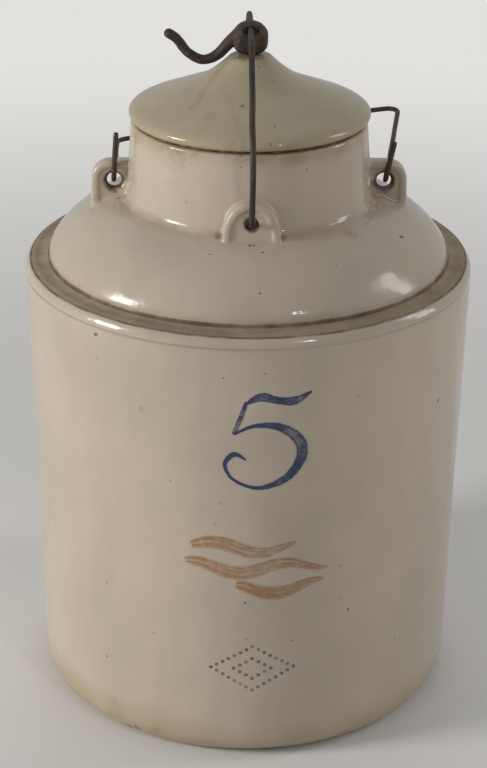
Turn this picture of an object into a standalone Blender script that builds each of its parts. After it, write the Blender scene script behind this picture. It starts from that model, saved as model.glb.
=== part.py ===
"""A stoneware crock with a lid, a wire lock bail with a cast ball and lever, and a carrying bail.

Metres, +Z up. The origin is the middle of the foot, and the front of the crock faces -Y.
Heights of the shoulder and the neck are given above the ledge that runs round the shoulder, those of
the ears' holes and feet from the shoulder's top, and those of the ears' tops above their holes.
"""

import math

import bmesh
import bpy
from mathutils import Matrix, Vector

# Clearances
seat_gap = 0.0003
bore_gap = 0.0003
cut_overrun = 0.004

# Crock body
body_height = 0.310
body_radius = 0.149
foot_inset = 0.0052
foot_rounding = 0.017
rim_rounding = 0.008
wall_thickness = 0.012
floor_thickness = 0.014
floor_rounding = 0.016

# Shoulder and neck
ledge_width = 0.016
shoulder_step = 0.0024
shoulder_rise = 0.040
shoulder_fullness = 1.5
vault_wall_share = 0.75
neck_height = 0.0915
neck_top_radius = 0.0773
neck_flare = 0.0034
neck_fillet = 0.006
neck_wall = 0.0103
lip_rounding = 0.002

# Sealing ring
ring_thickness = 0.0014
ring_width = 0.0075
ring_inset = 0.0012

# Lid
lid_overhang = 0.0015
lid_seat_inset = 0.0026
lid_edge_height = 0.0035
lid_shoulder_inset = 0.0073
lid_pitch = 0.39
lid_hollow_rise = 0.0165
lid_hollow_fullness = 2.1
knob_rise = 0.0407
knob_radius = 0.0140
knob_foot_radius = 0.0406
knob_foot_rise = 0.0211
knob_rounding = 0.0034
knob_crown = 0.0004
plug_clearance = 0.0018
plug_depth = 0.010
plug_wall = 0.0085
plug_rounding = 0.002

# Front and back ears
lock_ear_stand_off = 0.0109
lock_ear_width = 0.0366
lock_ear_hole_rise = 0.010
lock_ear_top_rise = 0.0134
lock_ear_foot_depth = 0.003
lock_ear_fullness = 2.3
lock_ear_rim_width = 0.0045
lock_ear_field_depth = 0.0014
lock_ear_hole_radius = 0.0041
lock_ear_edge = 0.0013

# Side ears
side_ear_reach = 0.0267
side_ear_foot_spread = 0.0012
side_ear_hole_rise = 0.0095
side_ear_top_rise = 0.0139
side_ear_foot_depth = 0.016
side_ear_thickness = 0.0110
side_ear_corner = 0.0125
side_ear_rim_width = 0.0045
side_ear_field_depth = 0.0013
side_ear_edge = 0.0020
side_ear_hole_radius = 0.0048
side_ear_hole_reach = 0.0117
side_ear_dish_radius = 0.0075
side_ear_web = 0.0024

# Wire of both bails
wire_radius = 0.0017

# Lock bail
lock_arm_clearance = 0.0036
lock_pin_clearance = 0.0006
lock_pin_bend = 0.0045
lock_shoulder_drop = 0.0535
lock_top_reach = 0.0400
lock_shoulder_bend = 0.025
lock_top_bend = 0.022

# Ball and lever
ball_radius = 0.0114
ball_half_length = 0.0095
ball_fullness = 3.0
ball_top_share = 0.85
ball_eccentricity = 0.0058
relief_width = 0.0056
relief_height = 0.0030
relief_depth = 0.0028
lever_length = 0.0523
lever_sag = 0.0213
lever_place_shares = (0.13, 0.25, 0.415, 0.591, 0.769, 0.897, 1.0)
lever_drop_shares = (0.18, 0.446, 0.859, 1.0, 0.779, 0.385, 0.197)
lever_root_radius = 0.0040
lever_shank_radius = 0.0027
lever_tip_radius = 0.0029
lever_width_share = 1.25
lever_root_share = 0.45
lever_tip_share = 0.2
lever_end_place_shares = (0.6, 0.95)
lever_end_radius_shares = (0.8, 0.3)

# Carrying bail
carry_clearance = 0.0130
carry_left_pitch = math.radians(-5.8)
carry_right_pitch = math.radians(5.8)
carry_left_corner_spread = 0.0028
carry_right_corner_spread = 0.0200
carry_left_stub_rise = 0.0340
carry_right_stub_rise = 0.0285
carry_left_stub_lean = -0.0020
carry_right_stub_lean = 0.0055
carry_corner_bend = 0.0085

# Wooden grip
grip_length = 0.0960
grip_radius = 0.0138
grip_end_radius = 0.0096
grip_groove_depth = 0.0007
grip_groove_width = 0.0016
grip_rounding = 0.0025
grip_groove_share = 0.72
grip_fullness = 2.2
grip_end_place_shares = (0.90, 0.80)
grip_middle_place_shares = (0.45, 0.2)

# Facets
round_steps = 56
lid_steps = 48
small_steps = 24
bend_step = math.radians(15)
seam_turn = math.radians(45)
flat_angle = math.radians(1)

# Places worked out from the sizes above
foot_radius = body_radius - foot_inset
shoulder_foot_radius = body_radius - ledge_width
neck_foot_radius = neck_top_radius + neck_flare
lid_radius = neck_top_radius + lid_overhang
lid_shoulder_radius = lid_radius - lid_shoulder_inset
lock_ear_face_radius = neck_top_radius + lock_ear_stand_off
side_ear_radius = neck_top_radius + side_ear_reach
side_ear_hole_place = neck_top_radius + side_ear_hole_reach
side_ear_dish_depth = (side_ear_thickness - side_ear_web) / 2 - side_ear_field_depth
ledge_z = body_height
shoulder_top_z = ledge_z + shoulder_rise
neck_top_z = ledge_z + neck_height
ring_bottom_z = neck_top_z + seat_gap
lid_seat_z = ring_bottom_z + ring_thickness + seat_gap
knob_top_z = lid_seat_z + knob_rise
ball_centre_z = knob_top_z + seat_gap + ball_radius
lock_bar_z = ball_centre_z + ball_eccentricity
lock_pivot_z = shoulder_top_z + lock_ear_hole_rise
lock_pin_end_y = neck_foot_radius + lock_pin_clearance
lock_arm_y = lock_ear_face_radius + lock_arm_clearance + wire_radius
carry_length = lock_arm_y + wire_radius + carry_clearance + grip_radius
side_hole_z = shoulder_top_z + side_ear_hole_rise
carry_hook_radius = side_ear_thickness / 2 + seat_gap + wire_radius
carry_pivot_z = side_hole_z + carry_hook_radius


def clear_scene():
    for old in list(bpy.data.objects):
        bpy.data.objects.remove(old, do_unlink=True)


def new_collection(name):
    collection = bpy.data.collections.new(name)
    bpy.context.scene.collection.children.link(collection)
    return collection


clear_scene()
parts = new_collection("stoneware_crock")
cutters = new_collection("cutters")


def new_material(name, colour, roughness, metallic=0.0):
    material = bpy.data.materials.new(name)
    material.use_nodes = True
    shader = material.node_tree.nodes["Principled BSDF"]
    shader.inputs["Base Color"].default_value = (*colour, 1.0)
    shader.inputs["Roughness"].default_value = roughness
    shader.inputs["Metallic"].default_value = metallic
    return material


def place(obj, collection, material=None):
    """Moves an object into one collection and gives it its material."""
    for old in list(obj.users_collection):
        old.objects.unlink(obj)
    collection.objects.link(obj)
    if material is not None:
        obj.data.materials.clear()
        obj.data.materials.append(material)
    if collection is cutters:
        obj.hide_render = True
        obj.display_type = "WIRE"
    return obj


def smooth(obj, angle=math.radians(40)):
    obj.data.shade_smooth()
    obj.data.set_sharp_from_angle(angle=angle)


def mesh_object(name, mesh, collection, material=None):
    obj = bpy.data.objects.new(name, mesh)
    collection.objects.link(obj)
    return place(obj, collection, material)


def as_mesh(obj):
    """Replaces a curve by its welded mesh, with whole flat faces and the same name and place."""
    graph = bpy.context.evaluated_depsgraph_get()
    mesh = bpy.data.meshes.new_from_object(obj.evaluated_get(graph))
    shape = bmesh.new()
    shape.from_mesh(mesh)
    bmesh.ops.remove_doubles(shape, verts=shape.verts, dist=seat_gap / 10)
    bmesh.ops.dissolve_limit(shape, angle_limit=flat_angle, verts=shape.verts, edges=shape.edges)
    bmesh.ops.recalc_face_normals(shape, faces=shape.faces)
    shape.to_mesh(mesh)
    shape.free()
    name, collection, matrix = obj.name, obj.users_collection[0], obj.matrix_world.copy()
    bpy.data.objects.remove(obj, do_unlink=True)
    new = mesh_object(name, mesh, collection)
    new.matrix_world = matrix
    return new


def arc(centre, radius, start, end, count):
    """Points of an arc in the profile plane, from one angle to another in degrees."""
    points = []
    for index in range(count + 1):
        angle = math.radians(start + (end - start) * index / count)
        points.append((centre[0] + radius * math.cos(angle), centre[1] + radius * math.sin(angle)))
    return points


def swell(foot, top, fullness, count, first=0.0, last=1.0):
    """Points of a full curve that falls from the top point to the foot point, both (radius, height)."""
    points = []
    for index in range(count + 1):
        angle = (first + (last - first) * index / count) * math.pi / 2
        out = math.sin(angle) ** (2 / fullness)
        down = abs(math.cos(angle)) ** (2 / fullness)
        points.append((top[0] + (foot[0] - top[0]) * out, foot[1] + (top[1] - foot[1]) * down))
    return points


def height_on_swell(radius, foot, top, fullness):
    share = (radius - top[0]) / (foot[0] - top[0])
    return foot[1] + (top[1] - foot[1]) * (1 - share**fullness) ** (1 / fullness)


def hollow_curve(start, bend, end, count):
    """Points of a curve from start to end that is drawn towards the bend point."""
    points = []
    for index in range(count + 1):
        t = index / count
        weights = ((1 - t) ** 2, 2 * t * (1 - t), t**2)
        corners = (start, bend, end)
        points.append(tuple(sum(w * p[axis] for w, p in zip(weights, corners)) for axis in (0, 1)))
    return points


def without_repeats(points):
    kept = [points[0]]
    for point in points[1:]:
        if math.dist(point, kept[-1]) > seat_gap / 10:
            kept.append(point)
    return kept


def turned(name, profile, steps, collection, material=None, closed=False):
    """A solid of revolution about its own Z axis, from points (radius, height)."""
    profile = without_repeats(profile)
    mesh = bpy.data.meshes.new(name)
    edges = [(index, index + 1) for index in range(len(profile) - 1)]
    if closed:
        edges.append((len(profile) - 1, 0))
    mesh.from_pydata([(radius, 0.0, height) for radius, height in profile], edges, [])
    obj = mesh_object(name, mesh, collection, material)
    screw = obj.modifiers.new("turn", "SCREW")
    screw.steps = steps
    screw.render_steps = steps
    screw.use_merge_vertices = True
    screw.merge_threshold = seat_gap / 10
    screw.use_smooth_shade = True
    return obj


def boolean(obj, other, operation="DIFFERENCE"):
    modifier = obj.modifiers.new(f"{operation.lower()} {other.name}", "BOOLEAN")
    modifier.operation = operation
    modifier.object = other
    modifier.solver = "EXACT"


def cylinder_cutter(name, radius, length, centre, axis, end_radius=None):
    """A round cutter along an axis. An end radius makes it a cone that opens along the axis."""
    shape = bmesh.new()
    bmesh.ops.create_cone(
        shape,
        cap_ends=True,
        segments=small_steps,
        radius1=radius,
        radius2=radius if end_radius is None else end_radius,
        depth=length,
    )
    turn = Vector((0, 0, 1)).rotation_difference(Vector(axis)).to_matrix().to_4x4()
    bmesh.ops.transform(shape, matrix=Matrix.Translation(centre) @ turn, verts=shape.verts)
    mesh = bpy.data.meshes.new(name)
    shape.to_mesh(mesh)
    shape.free()
    return mesh_object(name, mesh, cutters)


def plate(name, outline, half_thickness, centre_y, collection, material=None, edge=0.0):
    """An upright plate from an outline of (x, z) points, as thick along Y as said, with rounded edges."""
    curve = bpy.data.curves.new(name, "CURVE")
    curve.dimensions = "2D"
    curve.fill_mode = "BOTH"
    curve.extrude = half_thickness
    spline = curve.splines.new("POLY")
    spline.points.add(len(outline) - 1)
    for point, (x, z) in zip(spline.points, outline):
        point.co = (x, z, 0.0, 1.0)
    spline.use_cyclic_u = True
    obj = bpy.data.objects.new(name, curve)
    collection.objects.link(obj)
    bpy.context.view_layer.update()
    obj = as_mesh(obj)
    obj.data.transform(Matrix.Translation((0, centre_y, 0)) @ Matrix.Rotation(math.pi / 2, 4, "X"))
    place(obj, collection, material)
    if edge:
        bevel = obj.modifiers.new("edges", "BEVEL")
        bevel.width = edge
        bevel.segments = 2
        bevel.limit_method = "ANGLE"
        bevel.angle_limit = math.radians(50)
    return obj


def rounded_path(corners, bends):
    """Points along a wire that runs from corner to corner, with an arc of the given radius at each."""
    points = [Vector(corners[0])]
    for index in range(1, len(corners) - 1):
        before, here, after = (Vector(corners[index + step]) for step in (-1, 0, 1))
        to_before = (before - here).normalized()
        to_after = (after - here).normalized()
        opening = to_before.angle(to_after)
        turn = math.pi - opening
        reach = bends[index - 1] / math.tan(opening / 2)
        middle = (to_before + to_after).normalized()
        centre = here + middle * (bends[index - 1] / math.sin(opening / 2))
        start = here + to_before * reach - centre
        axis = start.cross(here + to_after * reach - centre).normalized()
        count = max(2, math.ceil(turn / bend_step))
        for step in range(count + 1):
            points.append(centre + Matrix.Rotation(turn * step / count, 3, axis) @ start)
    points.append(Vector(corners[-1]))
    return points


def wire(name, points, origin, material, radii=None, depth=wire_radius, resolution=2):
    """A round wire along the points, as a curve whose origin is the point given."""
    curve = bpy.data.curves.new(name, "CURVE")
    curve.dimensions = "3D"
    curve.bevel_depth = depth
    curve.bevel_resolution = resolution
    curve.use_fill_caps = True
    spline = curve.splines.new("POLY")
    spline.points.add(len(points) - 1)
    for index, (point, place_at) in enumerate(zip(spline.points, points)):
        point.co = (*(Vector(place_at) - Vector(origin)), 1.0)
        point.radius = radii[index] if radii else 1.0
    obj = bpy.data.objects.new(name, curve)
    parts.objects.link(obj)
    obj.location = origin
    return place(obj, parts, material)


def shoulder_points(count, gap=0.0):
    """The outer side of the neck and shoulder, from the lip down to the ledge."""
    foot = (shoulder_foot_radius + gap, ledge_z + shoulder_step)
    top = (neck_foot_radius, ledge_z + shoulder_rise + gap)
    fillet_radius = neck_foot_radius + neck_fillet
    fillet_z = height_on_swell(fillet_radius, foot, top, shoulder_fullness) + neck_fillet
    start_share = math.asin(((fillet_radius - top[0]) / (foot[0] - top[0])) ** (shoulder_fullness / 2))
    fillet = arc((fillet_radius, fillet_z), neck_fillet - gap, 180, 262, 4)
    dome = swell(foot, top, shoulder_fullness, count, start_share / (math.pi / 2), 1.0)
    return [*fillet, *dome[1:], (foot[0], ledge_z)]


def jar_profile():
    inner_foot = foot_radius - wall_thickness
    inner_top = body_radius - wall_thickness
    inner_shoulder_z = ledge_z - wall_thickness
    inner_wall_z = inner_shoulder_z - wall_thickness
    bore = neck_top_radius - neck_wall
    lip_outer = neck_top_radius - lip_rounding
    shoulder_inner = (shoulder_foot_radius - wall_thickness * vault_wall_share, inner_shoulder_z)
    inside = [
        (0.0, floor_thickness),
        *arc((inner_foot - floor_rounding, floor_thickness + floor_rounding), floor_rounding, -90, 0, 4),
        *arc((shoulder_inner[0], inner_wall_z), inner_top - shoulder_inner[0], 0, 60, 3),
    ]
    vault = swell(shoulder_inner, (bore, inner_shoulder_z + shoulder_rise), shoulder_fullness, 5)
    mouth = [
        *reversed(vault),
        *arc((bore + lip_rounding, neck_top_z - lip_rounding), lip_rounding, 180, 90, 3),
    ]
    outside = [
        *arc((lip_outer, neck_top_z - lip_rounding), lip_rounding, 90, 0, 3),
        *shoulder_points(9),
        *arc((body_radius - rim_rounding, ledge_z - rim_rounding), rim_rounding, 90, 0, 4),
        *arc((foot_radius - foot_rounding, foot_rounding), foot_rounding, 0, -90, 5),
        (0.0, 0.0),
    ]
    return [*inside, *mouth, *outside]


def make_jar(material):
    jar = turned("jar", jar_profile(), round_steps, parts, material)
    smooth(jar)
    return jar


def ear_bed():
    """The neck and shoulder with the seam's clearance added, which the backs of the ears are cut to."""
    lip = (neck_top_radius + seat_gap, neck_top_z)
    outer = [lip, *shoulder_points(9, seat_gap), (shoulder_foot_radius + seat_gap, ledge_z / 2)]
    bed = turned("ear_bed", [(0.0, neck_top_z), *outer, (0.0, ledge_z / 2)], round_steps, cutters)
    bed.rotation_euler.z = seam_turn
    return bed


def arch(half_width, foot_z, top_z, count=14):
    """An arched outline with a level foot."""
    points = []
    for index in range(count + 1):
        angle = math.pi * index / count
        side = math.copysign(abs(math.cos(angle)) ** (2 / lock_ear_fullness), math.cos(angle))
        rise = math.sin(angle) ** (2 / lock_ear_fullness)
        points.append((half_width * side, foot_z + (top_z - foot_z) * rise))
    return points


def make_lock_ear(name, side, bed, material):
    """An arched lug with a raised rim, low on the neck. Side is -1 at the front and 1 at the back."""
    foot_z = shoulder_top_z - lock_ear_foot_depth
    top_z = lock_pivot_z + lock_ear_top_rise
    half_width = lock_ear_width / 2
    back_radius = neck_top_radius * math.cos(math.asin(half_width / neck_top_radius)) - cut_overrun
    half_depth = (lock_ear_face_radius - back_radius) / 2
    centre_y = side * (back_radius + half_depth)
    ear = plate(name, arch(half_width, foot_z, top_z), half_depth, centre_y, parts, material, lock_ear_edge)
    field = plate(
        f"{name}_field",
        [
            *arch(half_width - lock_ear_rim_width, foot_z, top_z - lock_ear_rim_width, 12),
            (-(half_width - lock_ear_rim_width), foot_z - cut_overrun),
            (half_width - lock_ear_rim_width, foot_z - cut_overrun),
        ],
        lock_ear_field_depth,
        side * lock_ear_face_radius,
        cutters,
    )
    hole_z = lock_pivot_z
    hole_y = side * (lock_ear_face_radius - half_depth)
    depth = 2 * (half_depth + cut_overrun)
    hole = cylinder_cutter(f"{name}_hole", lock_ear_hole_radius, depth, (0, hole_y, hole_z), (0, side, 0))
    for cutter in (field, hole, bed):
        boolean(ear, cutter)
    smooth(ear)
    return ear


def make_side_ear(name, side, bed, material):
    """An upright lug that stands out from the neck, with a dished hole through it. Side is -1 or 1."""
    inner = neck_top_radius - cut_overrun
    foot_z = shoulder_top_z - side_ear_foot_depth
    top_z = side_hole_z + side_ear_top_rise
    corner = (side_ear_radius - side_ear_corner, top_z - side_ear_corner)
    outline = [
        (inner, foot_z),
        (inner, top_z),
        *arc(corner, side_ear_corner, 90, 0, 6),
        (side_ear_radius + side_ear_foot_spread, foot_z),
    ]
    rim = side_ear_rim_width
    field_outline = [
        (inner, foot_z - cut_overrun),
        (inner, top_z - rim),
        *arc(corner, side_ear_corner - rim, 90, 0, 5),
        (side_ear_radius - rim, foot_z - cut_overrun),
    ]
    half_thickness = side_ear_thickness / 2
    ear = plate(
        name, [(side * x, z) for x, z in outline], half_thickness, 0.0, parts, material, side_ear_edge
    )
    boolean(ear, bed)
    for face in (-1, 1):
        face_name = f"{name}_{'front' if face < 0 else 'back'}"
        field = plate(
            f"{face_name}_field",
            [(side * x, z) for x, z in field_outline],
            side_ear_field_depth,
            face * half_thickness,
            cutters,
        )
        boolean(ear, field)
        slope = (side_ear_dish_radius - side_ear_hole_radius) / side_ear_dish_depth
        inset = side_ear_dish_depth + side_ear_field_depth
        dish = cylinder_cutter(
            f"{face_name}_dish",
            side_ear_hole_radius - slope * seat_gap,
            inset + 2 * seat_gap,
            (side * side_ear_hole_place, face * (half_thickness - inset / 2), side_hole_z),
            (0, face, 0),
            side_ear_hole_radius + slope * (inset + seat_gap),
        )
        boolean(ear, dish)
    hole = cylinder_cutter(
        f"{name}_hole",
        side_ear_hole_radius,
        side_ear_thickness + cut_overrun,
        (side * side_ear_hole_place, 0, side_hole_z),
        (0, 1, 0),
    )
    boolean(ear, hole)
    smooth(ear)
    return ear


def make_sealing_ring(material):
    outer = neck_top_radius - ring_inset
    inner = outer - ring_width
    middle_z = ring_bottom_z + ring_thickness / 2
    half = ring_thickness / 2
    section = [
        *arc((outer - half, middle_z), half, 90, -90, 3),
        *arc((inner + half, middle_z), half, -90, -270, 3),
    ]
    ring = turned("sealing_ring", section, lid_steps, parts, material, closed=True)
    smooth(ring)
    return ring


def lid_profile():
    edge_z = lid_seat_z + lid_edge_height
    knob_edge_z = knob_top_z - knob_crown
    cut = knob_rounding * math.sin(math.radians(45))
    edge_centre = (knob_radius - cut, knob_edge_z - knob_rounding)
    flank_top = (knob_radius, edge_centre[1] + cut)
    flank_foot = (knob_foot_radius, lid_seat_z + knob_foot_rise)
    bend_radius = (flank_top[1] + flank_top[0] - flank_foot[1] - lid_pitch * flank_foot[0]) / (1 - lid_pitch)
    flank_bend = (bend_radius, flank_foot[1] - lid_pitch * (bend_radius - flank_foot[0]))
    shoulder = (lid_shoulder_radius, flank_foot[1] - lid_pitch * (lid_shoulder_radius - flank_foot[0]))
    shoulder_bend = (lid_radius, shoulder[1] - lid_pitch * (lid_radius - lid_shoulder_radius))
    seat = (lid_radius - lid_seat_inset, lid_seat_z)
    outside = [
        (0.0, knob_top_z),
        (knob_radius / 2, knob_top_z - knob_crown / 3),
        *arc(edge_centre, knob_rounding, 90, 45, 2),
        *hollow_curve(flank_top, flank_bend, flank_foot, 7),
        *hollow_curve(shoulder, shoulder_bend, (lid_radius, edge_z), 5),
        *hollow_curve((lid_radius, edge_z), (lid_radius, lid_seat_z), seat, 3),
    ]
    plug_radius = neck_top_radius - neck_wall - plug_clearance
    plug_z = lid_seat_z - plug_depth
    inner = plug_radius - plug_wall
    under = [
        (plug_radius, lid_seat_z),
        *arc((plug_radius - plug_rounding, plug_z + plug_rounding), plug_rounding, 0, -90, 2),
        *arc((inner + plug_rounding, plug_z + plug_rounding), plug_rounding, -90, -180, 2),
        *reversed(swell((inner, lid_seat_z), (0.0, lid_seat_z + lid_hollow_rise), lid_hollow_fullness, 5)),
    ]
    return [*outside, *under]


def make_lid(material):
    lid = turned("lid", lid_profile(), lid_steps, parts, material)
    smooth(lid)
    return lid


def make_lock_bail(material):
    """A wire over the lid, whose ends turn inwards into the front and back ears."""
    shoulder_z = lock_bar_z - lock_shoulder_drop
    front = [
        (0, -lock_pin_end_y, lock_pivot_z),
        (0, -lock_arm_y, lock_pivot_z),
        (0, -lock_arm_y, shoulder_z),
        (0, -lock_top_reach, lock_bar_z),
    ]
    back = [(x, -y, z) for x, y, z in reversed(front)]
    bends = [lock_pin_bend, lock_shoulder_bend, lock_top_bend]
    path = rounded_path([*front, *back], [*bends, *reversed(bends)])
    return wire("lock_bail", path, (0, 0, lock_pivot_z), material)


def lever_path(count=14):
    """The middle line of the lever: down from the ball, along the lid and up to its tip."""
    places = [
        (-lever_length * along, -lever_sag * down)
        for along, down in zip(lever_place_shares, lever_drop_shares)
    ]
    points = []
    for index in range(count):
        along = index / (count - 1) * (len(places) - 1)
        first = min(int(along), len(places) - 2)
        t = along - first
        p0, p1, p2, p3 = (places[max(0, min(len(places) - 1, first + step))] for step in (-1, 0, 1, 2))
        spline = [
            0.5 * (2 * b + (c - a) * t + (2 * a - 5 * b + 4 * c - d) * t**2 + (3 * b - a - 3 * c + d) * t**3)
            for a, b, c, d in zip(p0, p1, p2, p3)
        ]
        points.append(Vector((spline[0], 0.0, spline[1])))
    return points


def lever_radii(count):
    radii = []
    for index in range(count):
        along = index / (count - 1)
        root = max(0.0, 1 - along / lever_root_share)
        tip = max(0.0, 1 - (1 - along) / lever_tip_share)
        radius = lever_shank_radius + (lever_root_radius - lever_shank_radius) * root
        radii.append((radius + (lever_tip_radius - lever_shank_radius) * tip) / lever_shank_radius)
    return radii


def full_ball(name, collection, material):
    """A ball that is drawn out a little along Y, so that it is nearly a barrel, with a lower top."""
    shape = bmesh.new()
    bmesh.ops.create_uvsphere(shape, u_segments=small_steps, v_segments=12, radius=1.0)
    bmesh.ops.rotate(shape, verts=shape.verts, matrix=Matrix.Rotation(math.pi / 2, 3, "X"))
    for vertex in shape.verts:
        x, y, z = vertex.co
        ring = math.hypot(x, z)
        swelling = (1 - min(1.0, abs(y)) ** ball_fullness) ** (1 / ball_fullness)
        swelling = swelling / ring if ring > 0.01 else 0.0
        height = ball_top_share if z > 0 else 1.0
        vertex.co = (
            ball_radius * x * swelling,
            ball_half_length * y,
            ball_radius * z * swelling * height - ball_eccentricity,
        )
    mesh = bpy.data.meshes.new(name)
    bmesh.ops.recalc_face_normals(shape, faces=shape.faces)
    shape.to_mesh(mesh)
    shape.free()
    return mesh_object(name, mesh, collection, material)


def make_ball_lever(material):
    """A cast ball with an eye off its centre, for the wire, and a curved lever cast on its side."""
    pivot = Vector((0, 0, lock_bar_z))
    ball = full_ball("ball_lever", parts, material)
    ball.location = pivot

    path = lever_path()
    tip_turn = (path[-1] - path[-2]).normalized()
    shank = [*path, *(path[-1] + tip_turn * lever_tip_radius * share for share in lever_end_place_shares)]
    end_radii = [lever_tip_radius / lever_shank_radius * share for share in lever_end_radius_shares]
    radii = [*lever_radii(len(path)), *end_radii]
    lever = wire("lever_shank", shank, (0, 0, 0), material, radii, lever_shank_radius, 2)
    bpy.context.view_layer.update()
    lever = place(as_mesh(lever), cutters)
    lever.data.transform(Matrix.Diagonal((1, lever_width_share, 1, 1)))
    lever.location = pivot

    eye_length = 2 * (ball_half_length + cut_overrun)
    eye = cylinder_cutter("ball_eye", wire_radius + bore_gap, eye_length, (0, 0, 0), (0, 1, 0))
    eye.location = pivot
    boolean(ball, lever, "UNION")
    boolean(ball, eye)
    offset = ball_eccentricity / (ball_radius * ball_top_share)
    eye_end = ball_half_length * (1 - offset**ball_fullness) ** (1 / ball_fullness)
    for face in (-1, 1):
        shape = bmesh.new()
        bmesh.ops.create_uvsphere(shape, u_segments=16, v_segments=10, radius=1.0)
        name = f"ball_relief_{'front' if face < 0 else 'back'}"
        mesh = bpy.data.meshes.new(name)
        shape.to_mesh(mesh)
        shape.free()
        mesh.transform(Matrix.Diagonal((relief_width, relief_depth, relief_height, 1)))
        relief = mesh_object(name, mesh, cutters)
        place(relief, cutters)
        relief.location = pivot + Vector((0, face * eye_end, 0))
        boolean(ball, relief)
    smooth(ball)
    return ball


def carry_corner(side):
    """Where the carrying bail's arm would meet its cross wire if the bend between them were sharp."""
    pitch = carry_left_pitch if side < 0 else carry_right_pitch
    spread = carry_left_corner_spread if side < 0 else carry_right_corner_spread
    return Vector(
        (
            side * (side_ear_hole_place + spread),
            carry_length * math.cos(pitch),
            side_hole_z + carry_length * math.sin(pitch),
        )
    )


def carry_half(side):
    """The corners of one end of the carrying bail, from the tip of its hook to the cross wire."""
    pitch = carry_left_pitch if side < 0 else carry_right_pitch
    lean = carry_left_stub_lean if side < 0 else carry_right_stub_lean
    stub_z = side_hole_z + (carry_left_stub_rise if side < 0 else carry_right_stub_rise)
    hook_x = side * side_ear_hole_place
    hook_z = side_hole_z - carry_hook_radius * math.tan(pitch)
    tip = (hook_x + side * lean, -carry_hook_radius, stub_z)
    return [tip, (hook_x, -carry_hook_radius, hook_z), carry_corner(side)]


def make_carry_bail(material):
    """A wire hooked through both side ears. At rest it lies back behind the neck."""
    path = rounded_path(
        [*carry_half(-1), *reversed(carry_half(1))],
        [carry_hook_radius, carry_corner_bend, carry_corner_bend, carry_hook_radius],
    )
    return wire("carry_bail", path, (0, 0, carry_pivot_z), material)


def grip_radius_at(share):
    """The handle's radius at a share of its half length from its middle."""
    swelling = math.cos(share * math.pi / 2) ** (1 / grip_fullness)
    return grip_end_radius + (grip_radius - grip_end_radius) * swelling


def grip_profile():
    """A turned handle with a groove near each end, round the cross wire."""
    half = grip_length / 2
    bore = wire_radius + bore_gap
    groove_z = grip_groove_share * half
    groove_radius = grip_radius_at(grip_groove_share)
    upper = [
        *arc((grip_end_radius - grip_rounding, half - grip_rounding), grip_rounding, 90, 20, 3),
        *((grip_radius_at(share), share * half) for share in grip_end_place_shares),
        (groove_radius, groove_z + grip_groove_width / 2),
        (groove_radius - grip_groove_depth, groove_z),
        (groove_radius, groove_z - grip_groove_width / 2),
        *((grip_radius_at(share), share * half) for share in grip_middle_place_shares),
    ]
    lower = [(radius, -height) for radius, height in reversed(upper)]
    return [(bore, half), *upper, (grip_radius, 0.0), *lower, (bore, -half)]


def make_grip(material):
    left, right = carry_corner(-1), carry_corner(1)
    grip = turned("grip", grip_profile(), small_steps, parts, material, closed=True)
    grip.location = (left + right) / 2
    grip.rotation_mode = "QUATERNION"
    grip.rotation_quaternion = Vector((0, 0, 1)).rotation_difference(right - left)
    smooth(grip)
    return grip


def keep_place(child, parent):
    """Parents an object without moving it."""
    bpy.context.view_layer.update()
    matrix = child.matrix_world.copy()
    child.parent = parent
    child.matrix_parent_inverse = parent.matrix_world.inverted()
    child.matrix_world = matrix


def make_crock():
    glaze = new_material("cream_glaze", (0.60, 0.55, 0.45), 0.22)
    lid_glaze = new_material("lid_glaze", (0.62, 0.57, 0.47), 0.22)
    iron = new_material("rusty_wire", (0.085, 0.062, 0.050), 0.62, 0.7)
    cast = new_material("cast_iron", (0.120, 0.088, 0.070), 0.66, 0.6)
    rubber = new_material("perished_rubber", (0.050, 0.040, 0.032), 0.85)
    wood = new_material("turned_wood", (0.30, 0.17, 0.08), 0.55)

    jar = make_jar(glaze)
    bed = ear_bed()
    ears = [
        make_lock_ear("front_ear", -1, bed, glaze),
        make_lock_ear("back_ear", 1, bed, glaze),
        make_side_ear("left_ear", -1, bed, glaze),
        make_side_ear("right_ear", 1, bed, glaze),
    ]
    ring = make_sealing_ring(rubber)
    lid = make_lid(lid_glaze)
    lock_bail = make_lock_bail(iron)
    ball_lever = make_ball_lever(cast)
    carry_bail = make_carry_bail(iron)
    grip = make_grip(wood)

    for piece in (*ears, ring, lid, lock_bail, carry_bail):
        keep_place(piece, jar)
    keep_place(ball_lever, lock_bail)
    keep_place(grip, carry_bail)
    bpy.context.view_layer.update()


make_crock()
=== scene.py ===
"""The looks of a stoneware crock with a clamped lid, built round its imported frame.

Metres, +Z up. The origin is the middle of the foot, and the front of the crock faces -Y.
"""

import math

import bmesh
import bpy
from bpy.props import FloatProperty, FloatVectorProperty, IntProperty, PointerProperty
from mathutils import Matrix, Vector, noise
from mathutils.bvhtree import BVHTree


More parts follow.
